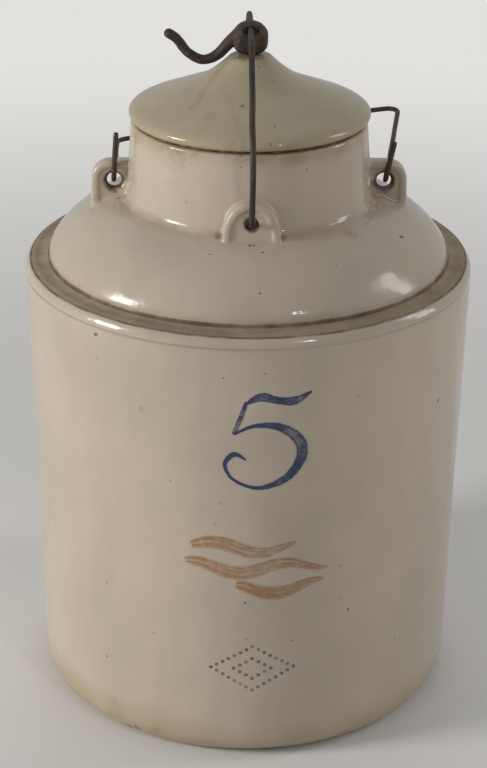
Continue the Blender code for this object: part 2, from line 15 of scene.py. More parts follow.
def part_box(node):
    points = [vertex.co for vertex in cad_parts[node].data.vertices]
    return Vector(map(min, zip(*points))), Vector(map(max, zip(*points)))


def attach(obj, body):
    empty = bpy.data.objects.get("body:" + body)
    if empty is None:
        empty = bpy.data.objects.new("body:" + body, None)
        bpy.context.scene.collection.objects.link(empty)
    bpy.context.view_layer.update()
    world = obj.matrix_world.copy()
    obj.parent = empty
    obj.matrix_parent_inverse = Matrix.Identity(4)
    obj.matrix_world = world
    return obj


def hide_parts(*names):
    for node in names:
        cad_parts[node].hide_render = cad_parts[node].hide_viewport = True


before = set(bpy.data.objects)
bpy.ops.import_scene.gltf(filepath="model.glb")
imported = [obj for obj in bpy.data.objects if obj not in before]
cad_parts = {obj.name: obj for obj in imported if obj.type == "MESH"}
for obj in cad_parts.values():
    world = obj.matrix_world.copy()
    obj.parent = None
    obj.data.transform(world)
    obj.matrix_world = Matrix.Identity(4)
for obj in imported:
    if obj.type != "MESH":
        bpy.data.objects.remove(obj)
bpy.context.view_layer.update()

bl_info = {
    "name": "Stoneware Crock Looks",
    "version": (1, 0, 0),
    "blender": (4, 5, 0),
    "location": "View3D > Sidebar > Crock",
    "description": "Dresses the packed frame of a lidded stoneware crock with its finished pieces",
    "category": "Object",
}

# Points that lie closer than this are one point
weld = 0.000001


# Sizes and colours


def length(name, description, default):
    return FloatProperty(name=name, description=description, default=default, unit="LENGTH", precision=4)


def share(name, description, default):
    return FloatProperty(name=name, description=description, default=default, min=0.0)


def colour(name, description, default):
    return FloatVectorProperty(
        name=name, description=description, default=default, size=3, min=0.0, max=1.0, subtype="COLOR"
    )


class StonewareSizes(bpy.types.PropertyGroup):
    """Sizes of the crock, its ears and its lid."""

    body_radius: length("Body radius", "Radius of the crock's wall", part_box("jar")[1].x)
    ledge_height: length("Ledge height", "Height of the bare ledge round the shoulder", 0.310)
    ledge_width: length("Ledge width", "From the crock's side in to the shoulder", 0.016)
    rim_rounding: length("Rim rounding", "Rounding of the wall's top edge", 0.008)
    rim_groove: length("Rim groove", "Depth of the soft groove thrown under the rim", 0.0005)
    rim_groove_height: length("Rim groove height", "Height of that groove", 0.2975)
    rim_groove_spread: length("Rim groove spread", "Half height of that groove", 0.0042)
    glaze_step: length("Glaze step", "How far the glaze stands proud of the bare ledge", 0.0003)
    foot_inset: length("Foot inset", "How much narrower the wall is at its foot", 0.0052)
    foot_rounding: length("Foot rounding", "Rounding at the foot", 0.017)
    wall: length("Wall", "Thickness of the crock's wall", 0.012)
    floor: length("Floor", "Thickness of the crock's floor", 0.014)
    shoulder_step: length("Shoulder step", "Upright edge at the foot of the shoulder", 0.0024)
    shoulder_rise: length("Shoulder rise", "Height of the shoulder over the ledge", 0.040)
    shoulder_fullness: share("Shoulder fullness", "1 is a straight slope and 2 a round one", 1.5)
    neck_top_height: length("Neck top", "Height of the lip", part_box("jar")[1].z)
    neck_top_radius: length("Neck radius", "Outer radius of the neck at the lip", 0.0773)
    neck_flare: length("Neck flare", "How much wider the neck is at its foot", 0.0034)
    neck_fillet: length("Neck fillet", "Fillet between neck and shoulder", 0.006)
    neck_wall: length("Neck wall", "Thickness of the neck", 0.0103)
    lip_rounding: length("Lip rounding", "Rounding of the lip", 0.002)
    lid_radius: length("Lid radius", "Greatest radius of the lid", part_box("lid")[1].x)
    lid_top_height: length("Knob top", "Height of the top of the knob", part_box("lid")[1].z)
    lid_seat_height: length("Lid seat", "Height of the lid's flat underside", 0.4035)
    lid_plug_height: length("Plug foot", "Height of the lowest edge of the lid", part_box("lid")[0].z)
    lid_seat_inset: length("Seat inset", "From the lid's edge in to its flat seat", 0.0026)
    lid_edge_height: length("Edge height", "Height of the lid's widest line over its seat", 0.0035)
    lid_shoulder_inset: length("Lid shoulder", "From the lid's edge in to where its slope starts", 0.0073)
    lid_pitch: share("Lid pitch", "Fall of the lid's slope for each unit out", 0.39)
    knob_radius: length("Knob radius", "Radius at the top of the knob", 0.0140)
    knob_foot_radius: length("Knob foot radius", "Radius where the knob meets the slope", 0.0406)
    knob_foot_rise: length("Knob foot rise", "Height of that line over the seat", 0.0211)
    knob_rounding: length("Knob rounding", "Rounding of the knob's top edge", 0.0034)
    ear_voxel: length("Ear fineness", "Cell size that the ears' soft skins are made at", 0.0005)
    luting_reach: length("Luting reach", "How far the ears' soft seams spread on the neck", 0.0026)
    hand_wobble: length("Hand wobble", "How far the thrown wall strays from a true circle", 0.0003)
    round_steps: IntProperty(name="Round steps", description="Facets round the crock", default=144, min=24)


class IronSizes(bpy.types.PropertyGroup):
    """Sizes of the wires, the cast ball and its lever."""

    wire_radius: length("Wire radius", "Radius of the carrying bail's wire", 0.0017)
    lock_wire_radius: length("Lock wire radius", "Radius of the lock bail's wire with its rust", 0.0019)
    wire_kink: length("Wire kink", "How far a wire strays from its true line", 0.0003)
    lock_pivot_height: length("Lock pivot", "Height of the lock bail's holes", 0.360)
    lock_pin_depth: length("Lock pin", "How far the lock bail's ends enter their ears", 0.0069)
    lock_arm_reach: length("Lock arm reach", "From the middle out to the lock bail's arms", 0.0935)
    lock_face_reach: length("Ear face reach", "From the middle out to the front ear's face", 0.0882)
    lock_bar_height: length("Lock bar", "Height of the wire that passes through the ball", 0.4617)
    lock_shoulder_drop: length("Lock shoulder drop", "From that wire down to the arms' bends", 0.0535)
    lock_top_reach: length("Lock top reach", "From the middle out to the upper bends", 0.0400)
    lock_pin_bend: length("Pin bend", "Bend at the ears", 0.0045)
    lock_shoulder_bend: length("Shoulder bend", "Bend between arm and slope", 0.025)
    lock_top_bend: length("Top bend", "Bend between slope and top", 0.022)
    ball_radius: length("Ball radius", "Radius of the cast ball", 0.0114)
    ball_half_length: length("Ball half length", "From its middle to each end", 0.0095)
    ball_fullness: share("Ball fullness", "2 is a round end and more is a fuller one", 3.0)
    ball_top_share: share("Ball top share", "Height of its upper half over its radius", 0.85)
    ball_squareness: share("Ball squareness", "2 is a round lower half and more is a squarer one", 3.1)
    ball_drop: length("Ball drop", "How far the wire passes over its middle", 0.0058)
    ball_seam_drop: length("Seam drop", "From the wire down to the casting seam", 0.0027)
    lever_length: length("Lever length", "From the wire out to the lever's tip", 0.0523)
    lever_sag: length("Lever sag", "From the wire down to the lever's lowest bend", 0.0213)
    lever_root_radius: length("Lever root", "Half thickness at the ball", 0.0044)
    lever_shank_radius: length("Lever shank", "Half thickness along the lever", 0.0031)
    lever_tip_radius: length("Lever tip", "Half thickness at its tip", 0.0032)
    lever_width_share: share("Lever width", "Its width over its thickness", 1.25)
    cast_voxel: length("Casting fineness", "Cell size that the casting's skin is made at", 0.00035)
    carry_hook_radius: length("Hook radius", "Radius of the hooks in the side ears", 0.0075)
    carry_hole_reach: length("Hook reach", "From the middle out to the hooks", 0.0890)
    carry_hole_height: length("Hook height", "Height of the side ears' holes", 0.3595)
    carry_length: length("Carrying bail length", "From the hooks back to the cross wire", 0.1220)
    carry_corner_bend: length("Corner bend", "Bend between arm and cross wire", 0.0085)
    grip_length: length("Grip length", "Length of the wooden grip", 0.096)
    grip_radius: length("Grip radius", "Radius at its middle", 0.0138)
    grip_end_radius: length("Grip end radius", "Radius at its ends", 0.0096)
    bead_facets: IntProperty(name="Wire facets", description="Facets round a wire", default=20, min=8)


class MarkSizes(bpy.types.PropertyGroup):
    """Sizes and places of the painted marks. Places are measured round the wall from the front."""

    mark_lift: length("Mark lift", "How far a mark lies over the glaze", 0.00012)
    numeral_place: length("Numeral place", "Round the wall to its middle", 0.0095)
    numeral_height: length("Numeral height", "Height of its middle", 0.239)
    numeral_size: length("Numeral size", "How tall it is", 0.066)
    numeral_stroke: length("Numeral stroke", "Half width of its thickest stroke", 0.0040)
    brush_place: length("Brush place", "Round the wall to the middle of the brushed waves", 0.005)
    brush_height: length("Brush height", "Height of the middle wave", 0.148)
    brush_size: length("Brush size", "How long the longest wave is", 0.096)
    brush_stroke: length("Brush stroke", "Half width of a wave", 0.0074)
    brush_spacing: length("Brush spacing", "From one wave down to the next", 0.0152)
    brush_swing: length("Brush swing", "How far a wave swings up and down", 0.0036)
    dots_place: length("Dots place", "Round the wall to the middle of the dotted lozenge", 0.002)
    dots_height: length("Dots height", "Height of its middle", 0.072)
    dots_width: length("Dots width", "Width of the dotted lozenge", 0.056)
    dots_rise: length("Dots rise", "Height of the dotted lozenge", 0.034)
    dot_radius: length("Dot radius", "Radius of a dot", 0.0013)


class CrockColours(bpy.types.PropertyGroup):
    """Colours of the finishes."""

    glaze: colour("Glaze", "The glaze where it is thick and clean", (0.57, 0.485, 0.385))
    glaze_grey: colour("Grey glaze", "The glaze where it is thin", (0.46, 0.400, 0.310))
    lid_glaze: colour("Lid glaze", "The lid's glaze where it is thick", (0.475, 0.405, 0.275))
    lid_glaze_grey: colour("Grey lid glaze", "The lid's glaze where it is thin", (0.385, 0.333, 0.225))
    clay: colour("Bare clay", "The unglazed ledge and foot", (0.34, 0.275, 0.185))
    # Also laid as painted shade on the underside of the lid's edge
    stain: colour("Stain", "Tan stains in the glaze", (0.36, 0.255, 0.13))
    # Also the colour of the darker spots at the ears' feet and of the darker lines along the ledge's edges
    grime: colour("Grime", "Dirt in corners and pits", (0.075, 0.052, 0.033))
    rust: colour("Rust", "Rust on iron, and where it has run", (0.100, 0.046, 0.025))
    iron: colour("Iron", "Dark iron", (0.034, 0.026, 0.021))
    worn_iron: colour("Worn iron", "Iron where hands have worn it", (0.066, 0.053, 0.049))
    rubber: colour("Rubber", "The perished sealing ring", (0.045, 0.034, 0.028))
    wood: colour("Wood", "The grip's wood", (0.28, 0.15, 0.065))
    wood_dark: colour("Dark wood", "Grain and grooves of the grip", (0.095, 0.045, 0.02))
    cobalt: colour("Cobalt", "The numeral's blue where it pooled", (0.030, 0.045, 0.130))
    cobalt_thin: colour("Thin cobalt", "The numeral's blue where it is thin", (0.190, 0.210, 0.260))
    brush_rust: colour("Brushed rust", "The brown of the brushed waves", (0.500, 0.215, 0.070))
    dot_blue: colour("Dot blue", "The grey blue of the dots", (0.110, 0.135, 0.180))
    floor: colour("Floor", "The studio floor", (0.80, 0.79, 0.77))


# Outlines


def arc(centre, radius, start, end, count):
    """Points of an arc in the profile plane, from one angle to another in degrees."""
    points = []
    for index in range(count + 1):
        angle = math.radians(start + (end - start) * index / count)
        points.append((centre[0] + radius * math.cos(angle), centre[1] + radius * math.sin(angle)))
    return points


def swell(foot, top, fullness, count, first=0.0):
    """Points of a full curve that falls from the top point to the foot point."""
    points = []
    for index in range(count + 1):
        angle = (first + (1 - first) * index / count) * math.pi / 2
        out = math.sin(angle) ** (2 / fullness)
        down = math.cos(angle) ** (2 / fullness)
        points.append((top[0] + (foot[0] - top[0]) * out, foot[1] + (top[1] - foot[1]) * down))
    return points


def bent_line(start, bend, end, count):
    """Points of a curve from start to end that is drawn towards the bend point."""
    points = []
    for index in range(count + 1):
        t = index / count
        pulls = tuple(zip(((1 - t) ** 2, 2 * t * (1 - t), t**2), (start, bend, end)))
        points.append(tuple(sum(pull * point[axis] for pull, point in pulls) for axis in (0, 1)))
    return points


def bell(distance, spread):
    """1 at no distance, and nearly 0 at twice the spread."""
    return math.exp(-((distance / spread) ** 2))


def even_line(start, end, count):
    """Evenly spaced points from start to end."""
    return [tuple(a + (b - a) * index / count for a, b in zip(start, end)) for index in range(count + 1)]


def heading(path, index):
    """The direction of a path at one of its points."""
    before, after = path[max(0, index - 1)], path[min(len(path) - 1, index + 1)]
    return (Vector(after) - Vector(before)).normalized()


def beside(points, distance):
    """The same run of points, moved sideways to the left of its direction."""
    moved = []
    for index, point in enumerate(points):
        along = heading(points, index)
        moved.append((point[0] - along.y * distance, point[1] + along.x * distance))
    return moved


def without_repeats(points):
    """The same points, with each run of points in one place made a single point."""
    kept = [points[0]]
    for point in points[1:]:
        if math.dist(point, kept[-1]) > weld:
            kept.append(point)
    return kept


def shoulder_outline(sizes, neck_top):
    """Points (radius, height) from a place on the neck down over the shoulder to the ledge."""
    neck_foot = sizes.neck_top_radius + sizes.neck_flare
    foot = (sizes.body_radius - sizes.ledge_width, sizes.ledge_height + sizes.shoulder_step)
    top = (neck_foot, sizes.ledge_height + sizes.shoulder_rise)
    fullness = sizes.shoulder_fullness
    reach = sizes.neck_fillet / (foot[0] - top[0])
    fillet_z = foot[1] + (top[1] - foot[1]) * (1 - reach**fullness) ** (1 / fullness) + sizes.neck_fillet
    start = math.asin(reach ** (fullness / 2)) / (math.pi / 2)
    neck = even_line(neck_top, (neck_foot, fillet_z), 16)
    fillet = arc((neck_foot + sizes.neck_fillet, fillet_z), sizes.neck_fillet, 180, 262, 10)
    dome = swell(foot, top, fullness, 30, start)
    return without_repeats([*neck, *fillet, *dome[1:]])


# Mesh tools


def placed(shape, name):
    """An object in the scene made of a mesh in progress, which is used up."""
    mesh = bpy.data.meshes.new(name)
    shape.to_mesh(mesh)
    shape.free()
    made = bpy.data.objects.new(name, mesh)
    bpy.context.scene.collection.objects.link(made)
    return made


def settled(rough, *tools):
    """A mesh in progress of an object as its modifiers make it. The object and its tools are removed."""
    result = bmesh.new()
    result.from_object(rough, bpy.context.evaluated_depsgraph_get())
    for used in (rough, *tools):
        mesh = used.data
        bpy.data.objects.remove(used, do_unlink=True)
        bpy.data.meshes.remove(mesh)
    return result


def body_piece(shape, name, material, body, slot, *replaced):
    """Makes a finished piece of a mesh in progress, and hangs it on its body."""
    piece = placed(shape, name)
    piece.data.shade_smooth()
    piece.data.materials.append(material)
    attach(piece, body)
    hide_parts(*replaced)


def spun(profile, steps, closed=False):
    """A solid turned about the Z axis from points (radius, height)."""
    shape = bmesh.new()
    points = [shape.verts.new((radius, 0.0, height)) for radius, height in without_repeats(profile)]
    edges = [shape.edges.new(pair) for pair in zip(points, points[1:])]
    if closed:
        edges.append(shape.edges.new((points[-1], points[0])))
    line = [*points, *edges]
    bmesh.ops.spin(
        shape, geom=line, cent=(0, 0, 0), axis=(0, 0, 1), angle=math.tau, steps=steps, use_merge=True
    )
    bmesh.ops.remove_doubles(shape, verts=shape.verts, dist=weld)
    bmesh.ops.recalc_face_normals(shape, faces=shape.faces)
    return shape


def stray(shape, amount, size, seed, above=-math.inf):
    """Moves the points over a height in and out by smooth noise, so that the form looks made by hand."""
    shape.normal_update()
    shift = Vector((seed, seed, 0))
    moves = [point.normal * amount * noise.noise(point.co / size + shift) for point in shape.verts]
    for point, move in zip(shape.verts, moves):
        if point.co.z > above:
            point.co += move


def rounded_path(corners, bends, step=math.radians(6)):
    """Points along a wire that runs from corner to corner, with an arc at each."""
    points = [Vector(corners[0])]
    for index in range(1, len(corners) - 1):
        before, here, after = (Vector(corners[index + offset]) for offset in (-1, 0, 1))
        to_before = (before - here).normalized()
        to_after = (after - here).normalized()
        opening = to_before.angle(to_after)
        turn = math.pi - opening
        reach = bends[index - 1] / math.tan(opening / 2)
        middle = (to_before + to_after).normalized()
        centre = here + middle * (bends[index - 1] / math.sin(opening / 2))
        start = here + to_before * reach - centre
        axis = start.cross(here + to_after * reach - centre).normalized()
        count = max(2, math.ceil(turn / step))
        for place in range(count + 1):
            points.append(centre + Matrix.Rotation(turn * place / count, 3, axis) @ start)
    points.append(Vector(corners[-1]))
    return points


def smooth_path(places, count):
    """Evenly many points of a smooth curve through the places."""
    path = []
    last = len(places) - 1
    for index in range(count):
        along = index / (count - 1) * last
        first = min(int(along), last - 1)
        t = along - first
        a, b, c, d = (places[max(0, min(last, first + step))] for step in (-1, 0, 1, 2))
        path.append(
            0.5 * (2 * b + (c - a) * t + (2 * a - 5 * b + 4 * c - d) * t**2 + (3 * b - a - 3 * c + d) * t**3)
        )
    return path


def filled_path(points, spacing):
    """The same path with points no further apart than the spacing."""
    filled = [points[0]]
    for point in points[1:]:
        count = max(1, round((point - filled[-1]).length / spacing))
        start = filled[-1]
        filled += [start.lerp(point, (index + 1) / count) for index in range(count)]
    return filled


def swept(shape, path, radii, facets, width=1.0):
    """Adds a round bar along the path, closed at both ends. Width stretches it along Y."""
    headings = [heading(path, index) for index in range(len(path))]
    turn = Vector((0, 0, 1)).rotation_difference(headings[0])
    places = []
    for index, (point, radius) in enumerate(zip(path, radii)):
        if index:
            turn = headings[index - 1].rotation_difference(headings[index]) @ turn
        places.append(Matrix.LocRotScale(point, turn, Vector((radius,) * 3)))
    ring = bmesh.ops.create_circle(shape, cap_ends=True, segments=facets, radius=1.0)["verts"]
    bmesh.ops.transform(shape, matrix=places[0], verts=ring)
    made = list(ring)
    edges = list({edge for point in ring for edge in point.link_edges})
    for before, after in zip(places, places[1:]):
        grown = bmesh.ops.extrude_edge_only(shape, edges=edges)["geom"]
        ring = [item for item in grown if isinstance(item, bmesh.types.BMVert)]
        edges = [
            item for item in grown
            if isinstance(item, bmesh.types.BMEdge) and all(end in ring for end in item.verts)
        ]
        bmesh.ops.transform(shape, matrix=after @ before.inverted(), verts=ring)
        made += ring
    bmesh.ops.edgeloop_fill(shape, edges=edges)
    bmesh.ops.recalc_face_normals(shape, faces=list({face for point in made for face in point.link_faces}))
    if width != 1.0:
        bmesh.ops.scale(shape, vec=(1, width, 1), verts=made)
    return made


def fused(shape, cell, rounds):
    """One soft skin round the closed shapes of a mesh in progress."""
    rough = placed(shape, "rough_shape")
    skin = rough.modifiers.new("skin", "REMESH")
    skin.mode = "VOXEL"
    skin.voxel_size = cell
    soften = rough.modifiers.new("soften", "SMOOTH")
    soften.factor = 0.5
    soften.iterations = rounds
    return settled(rough)


def cut(shape, cutters):
    """Cuts closed shapes out of a mesh in progress."""
    rough = placed(shape, "rough_shape")
    tools = [placed(cutter, "cutter") for cutter in cutters]
    for tool in tools:
        modifier = rough.modifiers.new("cut", "BOOLEAN")
        modifier.operation = "DIFFERENCE"
        modifier.object = tool
        modifier.solver = "EXACT"
    return settled(rough, *tools)


def wall_tree():
    """The crock's finished wall, to find the places on it."""
    wall = bmesh.new()
    wall.from_mesh(bpy.data.objects["crock_wall"].data)
    tree = BVHTree.FromBMesh(wall)
    wall.free()
    return tree


class PaintLayer:
    """Strokes and dots of paint that lie on the crock's finished wall."""

    def __init__(self, scene):
        self.radius = scene.crock_sizes.body_radius
        self.lift = scene.crock_marks.mark_lift
        self.wall = wall_tree()
        self.shape = bmesh.new()
        for name in ("across", "along", "fullness"):
            self.shape.verts.layers.float.new(name)

    def over(self, along, height, lift):
        """The point just over the wall, at a distance round it from the front and at a height."""
        angle = along / self.radius
        outward = Vector((math.sin(angle), -math.cos(angle), 0))
        start = outward * 2 * self.radius + Vector((0, 0, height))
        place, normal, _, _ = self.wall.ray_cast(start, -outward)
        return place + normal * lift

    def stroke(self, path, widths, under=0):
        """Adds a stroke over so many others. The path holds distances round the wall and heights."""
        layers = self.shape.verts.layers.float
        lift = self.lift * (1 + under / 2)
        rows = len(path) - 1
        made = bmesh.ops.create_grid(self.shape, x_segments=rows, y_segments=8, size=1.0)["verts"]
        reach = [0.0]
        for before, after in zip(path, path[1:]):
            reach.append(reach[-1] + (after - before).length)
        for point in made:
            row = round((point.co.x + 1) / 2 * rows)
            across = point.co.y
            along = heading(path, row)
            flat = path[row] + Vector((-along.y, along.x)) * widths[row] * across
            point[layers["across"]] = across
            point[layers["along"]] = reach[row]
            point[layers["fullness"]] = widths[row] / max(widths)
            point.co = self.over(flat.x, flat.y, lift)

    def dot(self, centre, radius):
        """Adds a round dot."""
        made = bmesh.ops.create_circle(self.shape, cap_ends=True, segments=16, radius=radius)["verts"]
        for point in made:
            point.co = self.over(centre.x + point.co.x, centre.y + point.co.y, self.lift)


# Node tools


class Value:
    """A node's output, on which arithmetic adds Math nodes."""

    def __init__(self, finish, socket):
        self.finish = finish
        self.socket = socket

    def __add__(self, other):
        return self.finish.maths("ADD", self, other)

    __radd__ = __add__

    def __sub__(self, other):
        return self.finish.maths("SUBTRACT", self, other)

    def __rsub__(self, other):
        return self.finish.maths("SUBTRACT", other, self)

    def __mul__(self, other):
        return self.finish.maths("MULTIPLY", self, other)

    __rmul__ = __mul__

    def __pow__(self, other):
        return self.finish.maths("POWER", self, other)


class Finish:
    """A material being made: its shader, the colour laid on so far, and short ways to add nodes."""

    def __init__(self, name, ground, roughness=0.5, world=False):
        self.material = (bpy.data.worlds if world else bpy.data.materials).new(name)
        self.material.use_nodes = True
        self.tree = self.material.node_tree
        self.ground = ground
        if world:
            self.shader = self.tree.nodes["Background"]
            return
        self.shader = self.tree.nodes["Principled BSDF"]
        self.set("Base Color", (*ground, 1.0))
        self.set("Roughness", roughness)
        self.place = self.node("TexCoord", {}, output="Object")

    def set(self, socket, value):
        self.feed(self.shader.inputs[socket], value)

    def feed(self, socket, value):
        if isinstance(value, Value):
            self.tree.links.new(value.socket, socket)
        else:
            socket.default_value = value

    def node(self, kind, sockets, output=0, **settings):
        """Adds a node with its settings and the values or links of its sockets."""
        made = self.tree.nodes.new(f"ShaderNode{kind}")
        for name, setting in settings.items():
            setattr(made, name, setting)
        for socket, value in sockets.items():
            self.feed(made.inputs[socket], value)
        return Value(self, made.outputs[output])

    def maths(self, operation, first, second=0.0):
        return self.node("Math", {0: first, 1: second}, operation=operation)

    def greater(self, first, second):
        return self.maths("MAXIMUM", first, second)

    def vectors(self, operation, first, second, output=0, socket=1):
        sockets = {0: first, socket: second}
        return self.node("VectorMath", sockets, output=output, operation=operation)

    def attribute(self, name):
        return self.node("Attribute", {}, output="Fac", attribute_name=name)

    def axes(self):
        """The place's distances along X, Y and Z."""
        outputs = self.node("SeparateXYZ", {0: self.place}).socket.node.outputs
        return tuple(Value(self, output) for output in outputs)

    def warped(self, scale, amount):
        """The same places, each moved a little by noise, so that edges wander."""
        sockets = {"Vector": self.place, "Scale": scale, "Detail": 2.0}
        noisy = self.node("TexNoise", sockets, output="Color")
        centred = self.vectors("SUBTRACT", noisy, (0.5, 0.5, 0.5))
        return self.vectors("ADD", self.place, self.vectors("SCALE", centred, 2 * amount, socket="Scale"))

    def stretched(self, scale, shift=(0.0, 0.0, 0.0), vector=None):
        sockets = {"Vector": vector or self.place, "Scale": scale, "Location": shift}
        return self.node("Mapping", sockets)

    def cloud(self, scale, detail=2.0, roughness=0.5, distortion=0.0, vector=None):
        """Smooth noise from 0 to 1. Scale is how many lumps there are in a metre."""
        sockets = {"Vector": vector or self.place, "Scale": scale, "Detail": detail}
        sockets |= {"Roughness": roughness, "Distortion": distortion}
        return self.node("TexNoise", sockets)

    def cells(self, scale, vector=None):
        """The distance to the nearest of scattered points, in cells."""
        return self.node("TexVoronoi", {"Vector": vector or self.place, "Scale": scale})

    def step(self, value, start, end, low=0.0, high=1.0):
        """Goes smoothly from low to high as the value goes from start to end."""
        sockets = {"Value": value, "From Min": start, "From Max": end, "To Min": low, "To Max": high}
        return self.node("MapRange", sockets, interpolation_type="SMOOTHSTEP")

    def patches(self, scale, start, end, detail=2.0, roughness=0.5):
        """Soft patches: 0 where the noise is under start, and 1 where it is over end."""
        return self.step(self.cloud(scale, detail, roughness), start, end)

    def band(self, value, low, high, soft):
        """1 between low and high, and falling to 0 over the soft edge at each side."""
        return self.step(value, low - soft, low) * (1 - self.step(value, high, high + soft))

    def spot(self, vector, centre, inner, outer):
        """1 near a point, falling to 0 between the inner and outer distances from it."""
        return 1 - self.step(self.vectors("DISTANCE", vector, centre, output="Value"), inner, outer)

    def mix(self, mask, first, second):
        """A colour that goes from the first to the second as the mask goes from 0 to 1."""
        sockets = {0: mask}
        for index, value in ((6, first), (7, second)):
            sockets[index] = value if isinstance(value, Value) else (*value, 1.0)
        return self.node("Mix", sockets, output=2, data_type="RGBA", clamp_factor=True)

    def lay(self, mask, colour_over):
        """Lays a colour over the ground where the mask is 1."""
        self.ground = self.mix(mask, self.ground, colour_over)

    def bump(self, height, depth, strength=1.0, below=None):
        sockets = {"Height": height, "Distance": depth, "Strength": strength}
        if below is not None:
            sockets["Normal"] = below
        return self.node("Bump", sockets)

    def surface(self, shader):
        """Makes this shader what the material shows."""
        output = "World Output" if "World Output" in self.tree.nodes else "Material Output"
        self.tree.links.new(shader.socket, self.tree.nodes[output].inputs["Surface"])


# Finishes

# Places in the glaze, each with the radius of its mark

iron_specks = (
    ((-0.0975, -0.1125, 0.2959), 0.0016),
    ((0.0991, -0.1055, 0.0706), 0.0013),
    ((-0.0032, -0.1458, 0.1223), 0.0012),
    ((0.1224, -0.0828, 0.2373), 0.0014),
    ((0.0738, -0.1292, 0.2966), 0.0009),
    ((-0.0071, -0.0757, 0.4012), 0.0008),
    ((-0.0064, -0.0771, 0.3971), 0.0006),
    ((-0.0063, -0.0774, 0.3940), 0.0006),
    ((0.0178, -0.0759, 0.3893), 0.0008),
    ((-0.0404, -0.0686, 0.3679), 0.0007),
    ((-0.0466, -0.0781, 0.3477), 0.0008),
    ((-0.0260, -0.0969, 0.3439), 0.0007),
    ((-0.0010, -0.0911, 0.3477), 0.0012),
    ((0.0014, -0.0914, 0.3475), 0.0010),
    ((0.0060, -0.0971, 0.3454), 0.0008),
    ((0.0046, -0.1231, 0.3279), 0.0009),
    ((0.0974, -0.0519, 0.3385), 0.0016),
    ((-0.0967, -0.1129, 0.2805), 0.0009),
    ((-0.0184, -0.1475, 0.2827), 0.0008),
    ((0.0080, -0.1485, 0.2857), 0.0009),
    ((0.0669, -0.1324, 0.2640), 0.0008),
    ((0.0075, -0.1467, 0.1878), 0.0007),
    ((-0.0935, -0.1116, 0.1178), 0.0008),
    ((-0.0952, -0.1088, 0.0592), 0.0009),
    ((-0.0619, -0.1313, 0.0904), 0.0007),
    ((-0.0024, -0.1452, 0.0945), 0.0007),
    ((0.0279, -0.1425, 0.0920), 0.0008),
)
tan_stains = (
    ((-0.0447, -0.0633, 0.3954), 0.0070),
    ((0.0633, -0.0681, 0.3472), 0.0070),
    ((-0.0860, -0.1090, 0.0200), 0.0110),
    ((-0.0620, -0.1240, 0.0140), 0.0090),
)
small_stains = (
    ((-0.0689, -0.1312, 0.2545), 0.0024),
    ((-0.0190, -0.1458, 0.1953), 0.0018),
)
chips = (
    ((-0.0750, -0.1207, 0.0080), 0.0036),
    ((-0.0800, -0.1160, 0.0070), 0.0026),
    ((0.0640, -0.1270, 0.0080), 0.0024),
)
rust_runs = (
    ((0.0, -0.0875, 0.3590), 0.0052),
    ((0.0, 0.0875, 0.3590), 0.0052),
    ((-0.0890, -0.0040, 0.3590), 0.0072),
    ((-0.0885, -0.0055, 0.3522), 0.0024),
    ((0.0890, -0.0040, 0.3590), 0.0078),
    ((-0.0890, 0.0040, 0.3590), 0.0070),
    ((0.0890, 0.0040, 0.3590), 0.0070),
)
# Places of darker spots in the corners at the feet of the ears, each with the radius of its mark
ear_foot_marks = (
    ((-0.0208, -0.0815, 0.3496), 0.0030),
    ((0.0200, -0.0830, 0.3493), 0.0026),
    ((-0.0800, -0.0090, 0.3495), 0.0036),
    ((-0.0860, -0.0080, 0.3480), 0.0022),
    ((0.0800, -0.0090, 0.3495), 0.0034),
    ((-0.0205, 0.0820, 0.3495), 0.0040),
)
lid_specks = (
    ((-0.0059, -0.0449, 0.4228), 0.0013),
    ((0.0050, -0.0166, 0.4396), 0.0008),
    ((0.0066, -0.0186, 0.4380), 0.0006),
    ((0.0141, -0.0218, 0.4326), 0.0006),
    ((0.0140, -0.0622, 0.4156), 0.0011),
    ((0.0152, -0.0612, 0.4159), 0.0008),
    ((0.0115, -0.0767, 0.4093), 0.0010),
    ((0.0117, -0.0775, 0.4076), 0.0008),
    ((0.0119, -0.0780, 0.4062), 0.0007),
    ((0.0669, -0.0279, 0.4123), 0.0009),
    ((0.0045, -0.0495, 0.4210), 0.0005),
)
lid_stains = (
    ((-0.0087, -0.0111, 0.4426), 0.0050),
    ((0.0080, -0.0125, 0.4420), 0.0035),
    ((-0.0059, -0.0449, 0.4228), 0.0032),
    ((-0.0137, -0.0773, 0.4082), 0.0050),
    ((0.0150, -0.0770, 0.4080), 0.0060),
    ((-0.0250, -0.0500, 0.4170), 0.0060),
)


# Numbers for how far a mark spreads are shares of its listed radius. Noise scales are lumps in a metre.


def marks_at(finish, place, centres, spread):
    """1 at the listed places, falling to 0 at the spread."""
    mask = 0.0
    for centre, radius in centres:
        mask = finish.greater(finish.spot(place, centre, radius * 0.4, radius * spread), mask)
    return mask


def lay_specks(finish, colours):
    """Lays scattered iron specks and open pits on a glaze, and gives back the pits."""
    shifted = finish.stretched((1.0, 1.0, 1.0), (0.3, 0.1, 0.7))
    specks = (1 - finish.step(finish.cells(38.0), 0.026, 0.048)) * finish.patches(9.0, 0.45, 0.70)
    pits = (1 - finish.step(finish.cells(85.0, shifted), 0.030, 0.055)) * finish.patches(13.0, 0.50, 0.64)
    finish.lay(specks * 0.85, colours.grime)
    finish.lay(pits * 0.75, colours.stain)
    return pits


def lay_thin_glaze(finish, thin):
    """Mottles the glaze with its thinner colour, a little streaked where it ran."""
    streaks = finish.cloud(60.0, vector=finish.stretched((1.0, 1.0, 0.12)))
    broad = finish.cloud(14.0, 3.0, 0.6, 0.4, finish.stretched((1.0, 1.0, 0.6)))
    finish.lay(finish.patches(7.0, 0.38, 0.66, 3.0, 0.6) * 0.60, thin)
    finish.lay(finish.step(broad, 0.50, 0.78) * 0.45, thin)
    finish.lay(finish.step(streaks, 0.45, 0.75) * 0.18, thin)


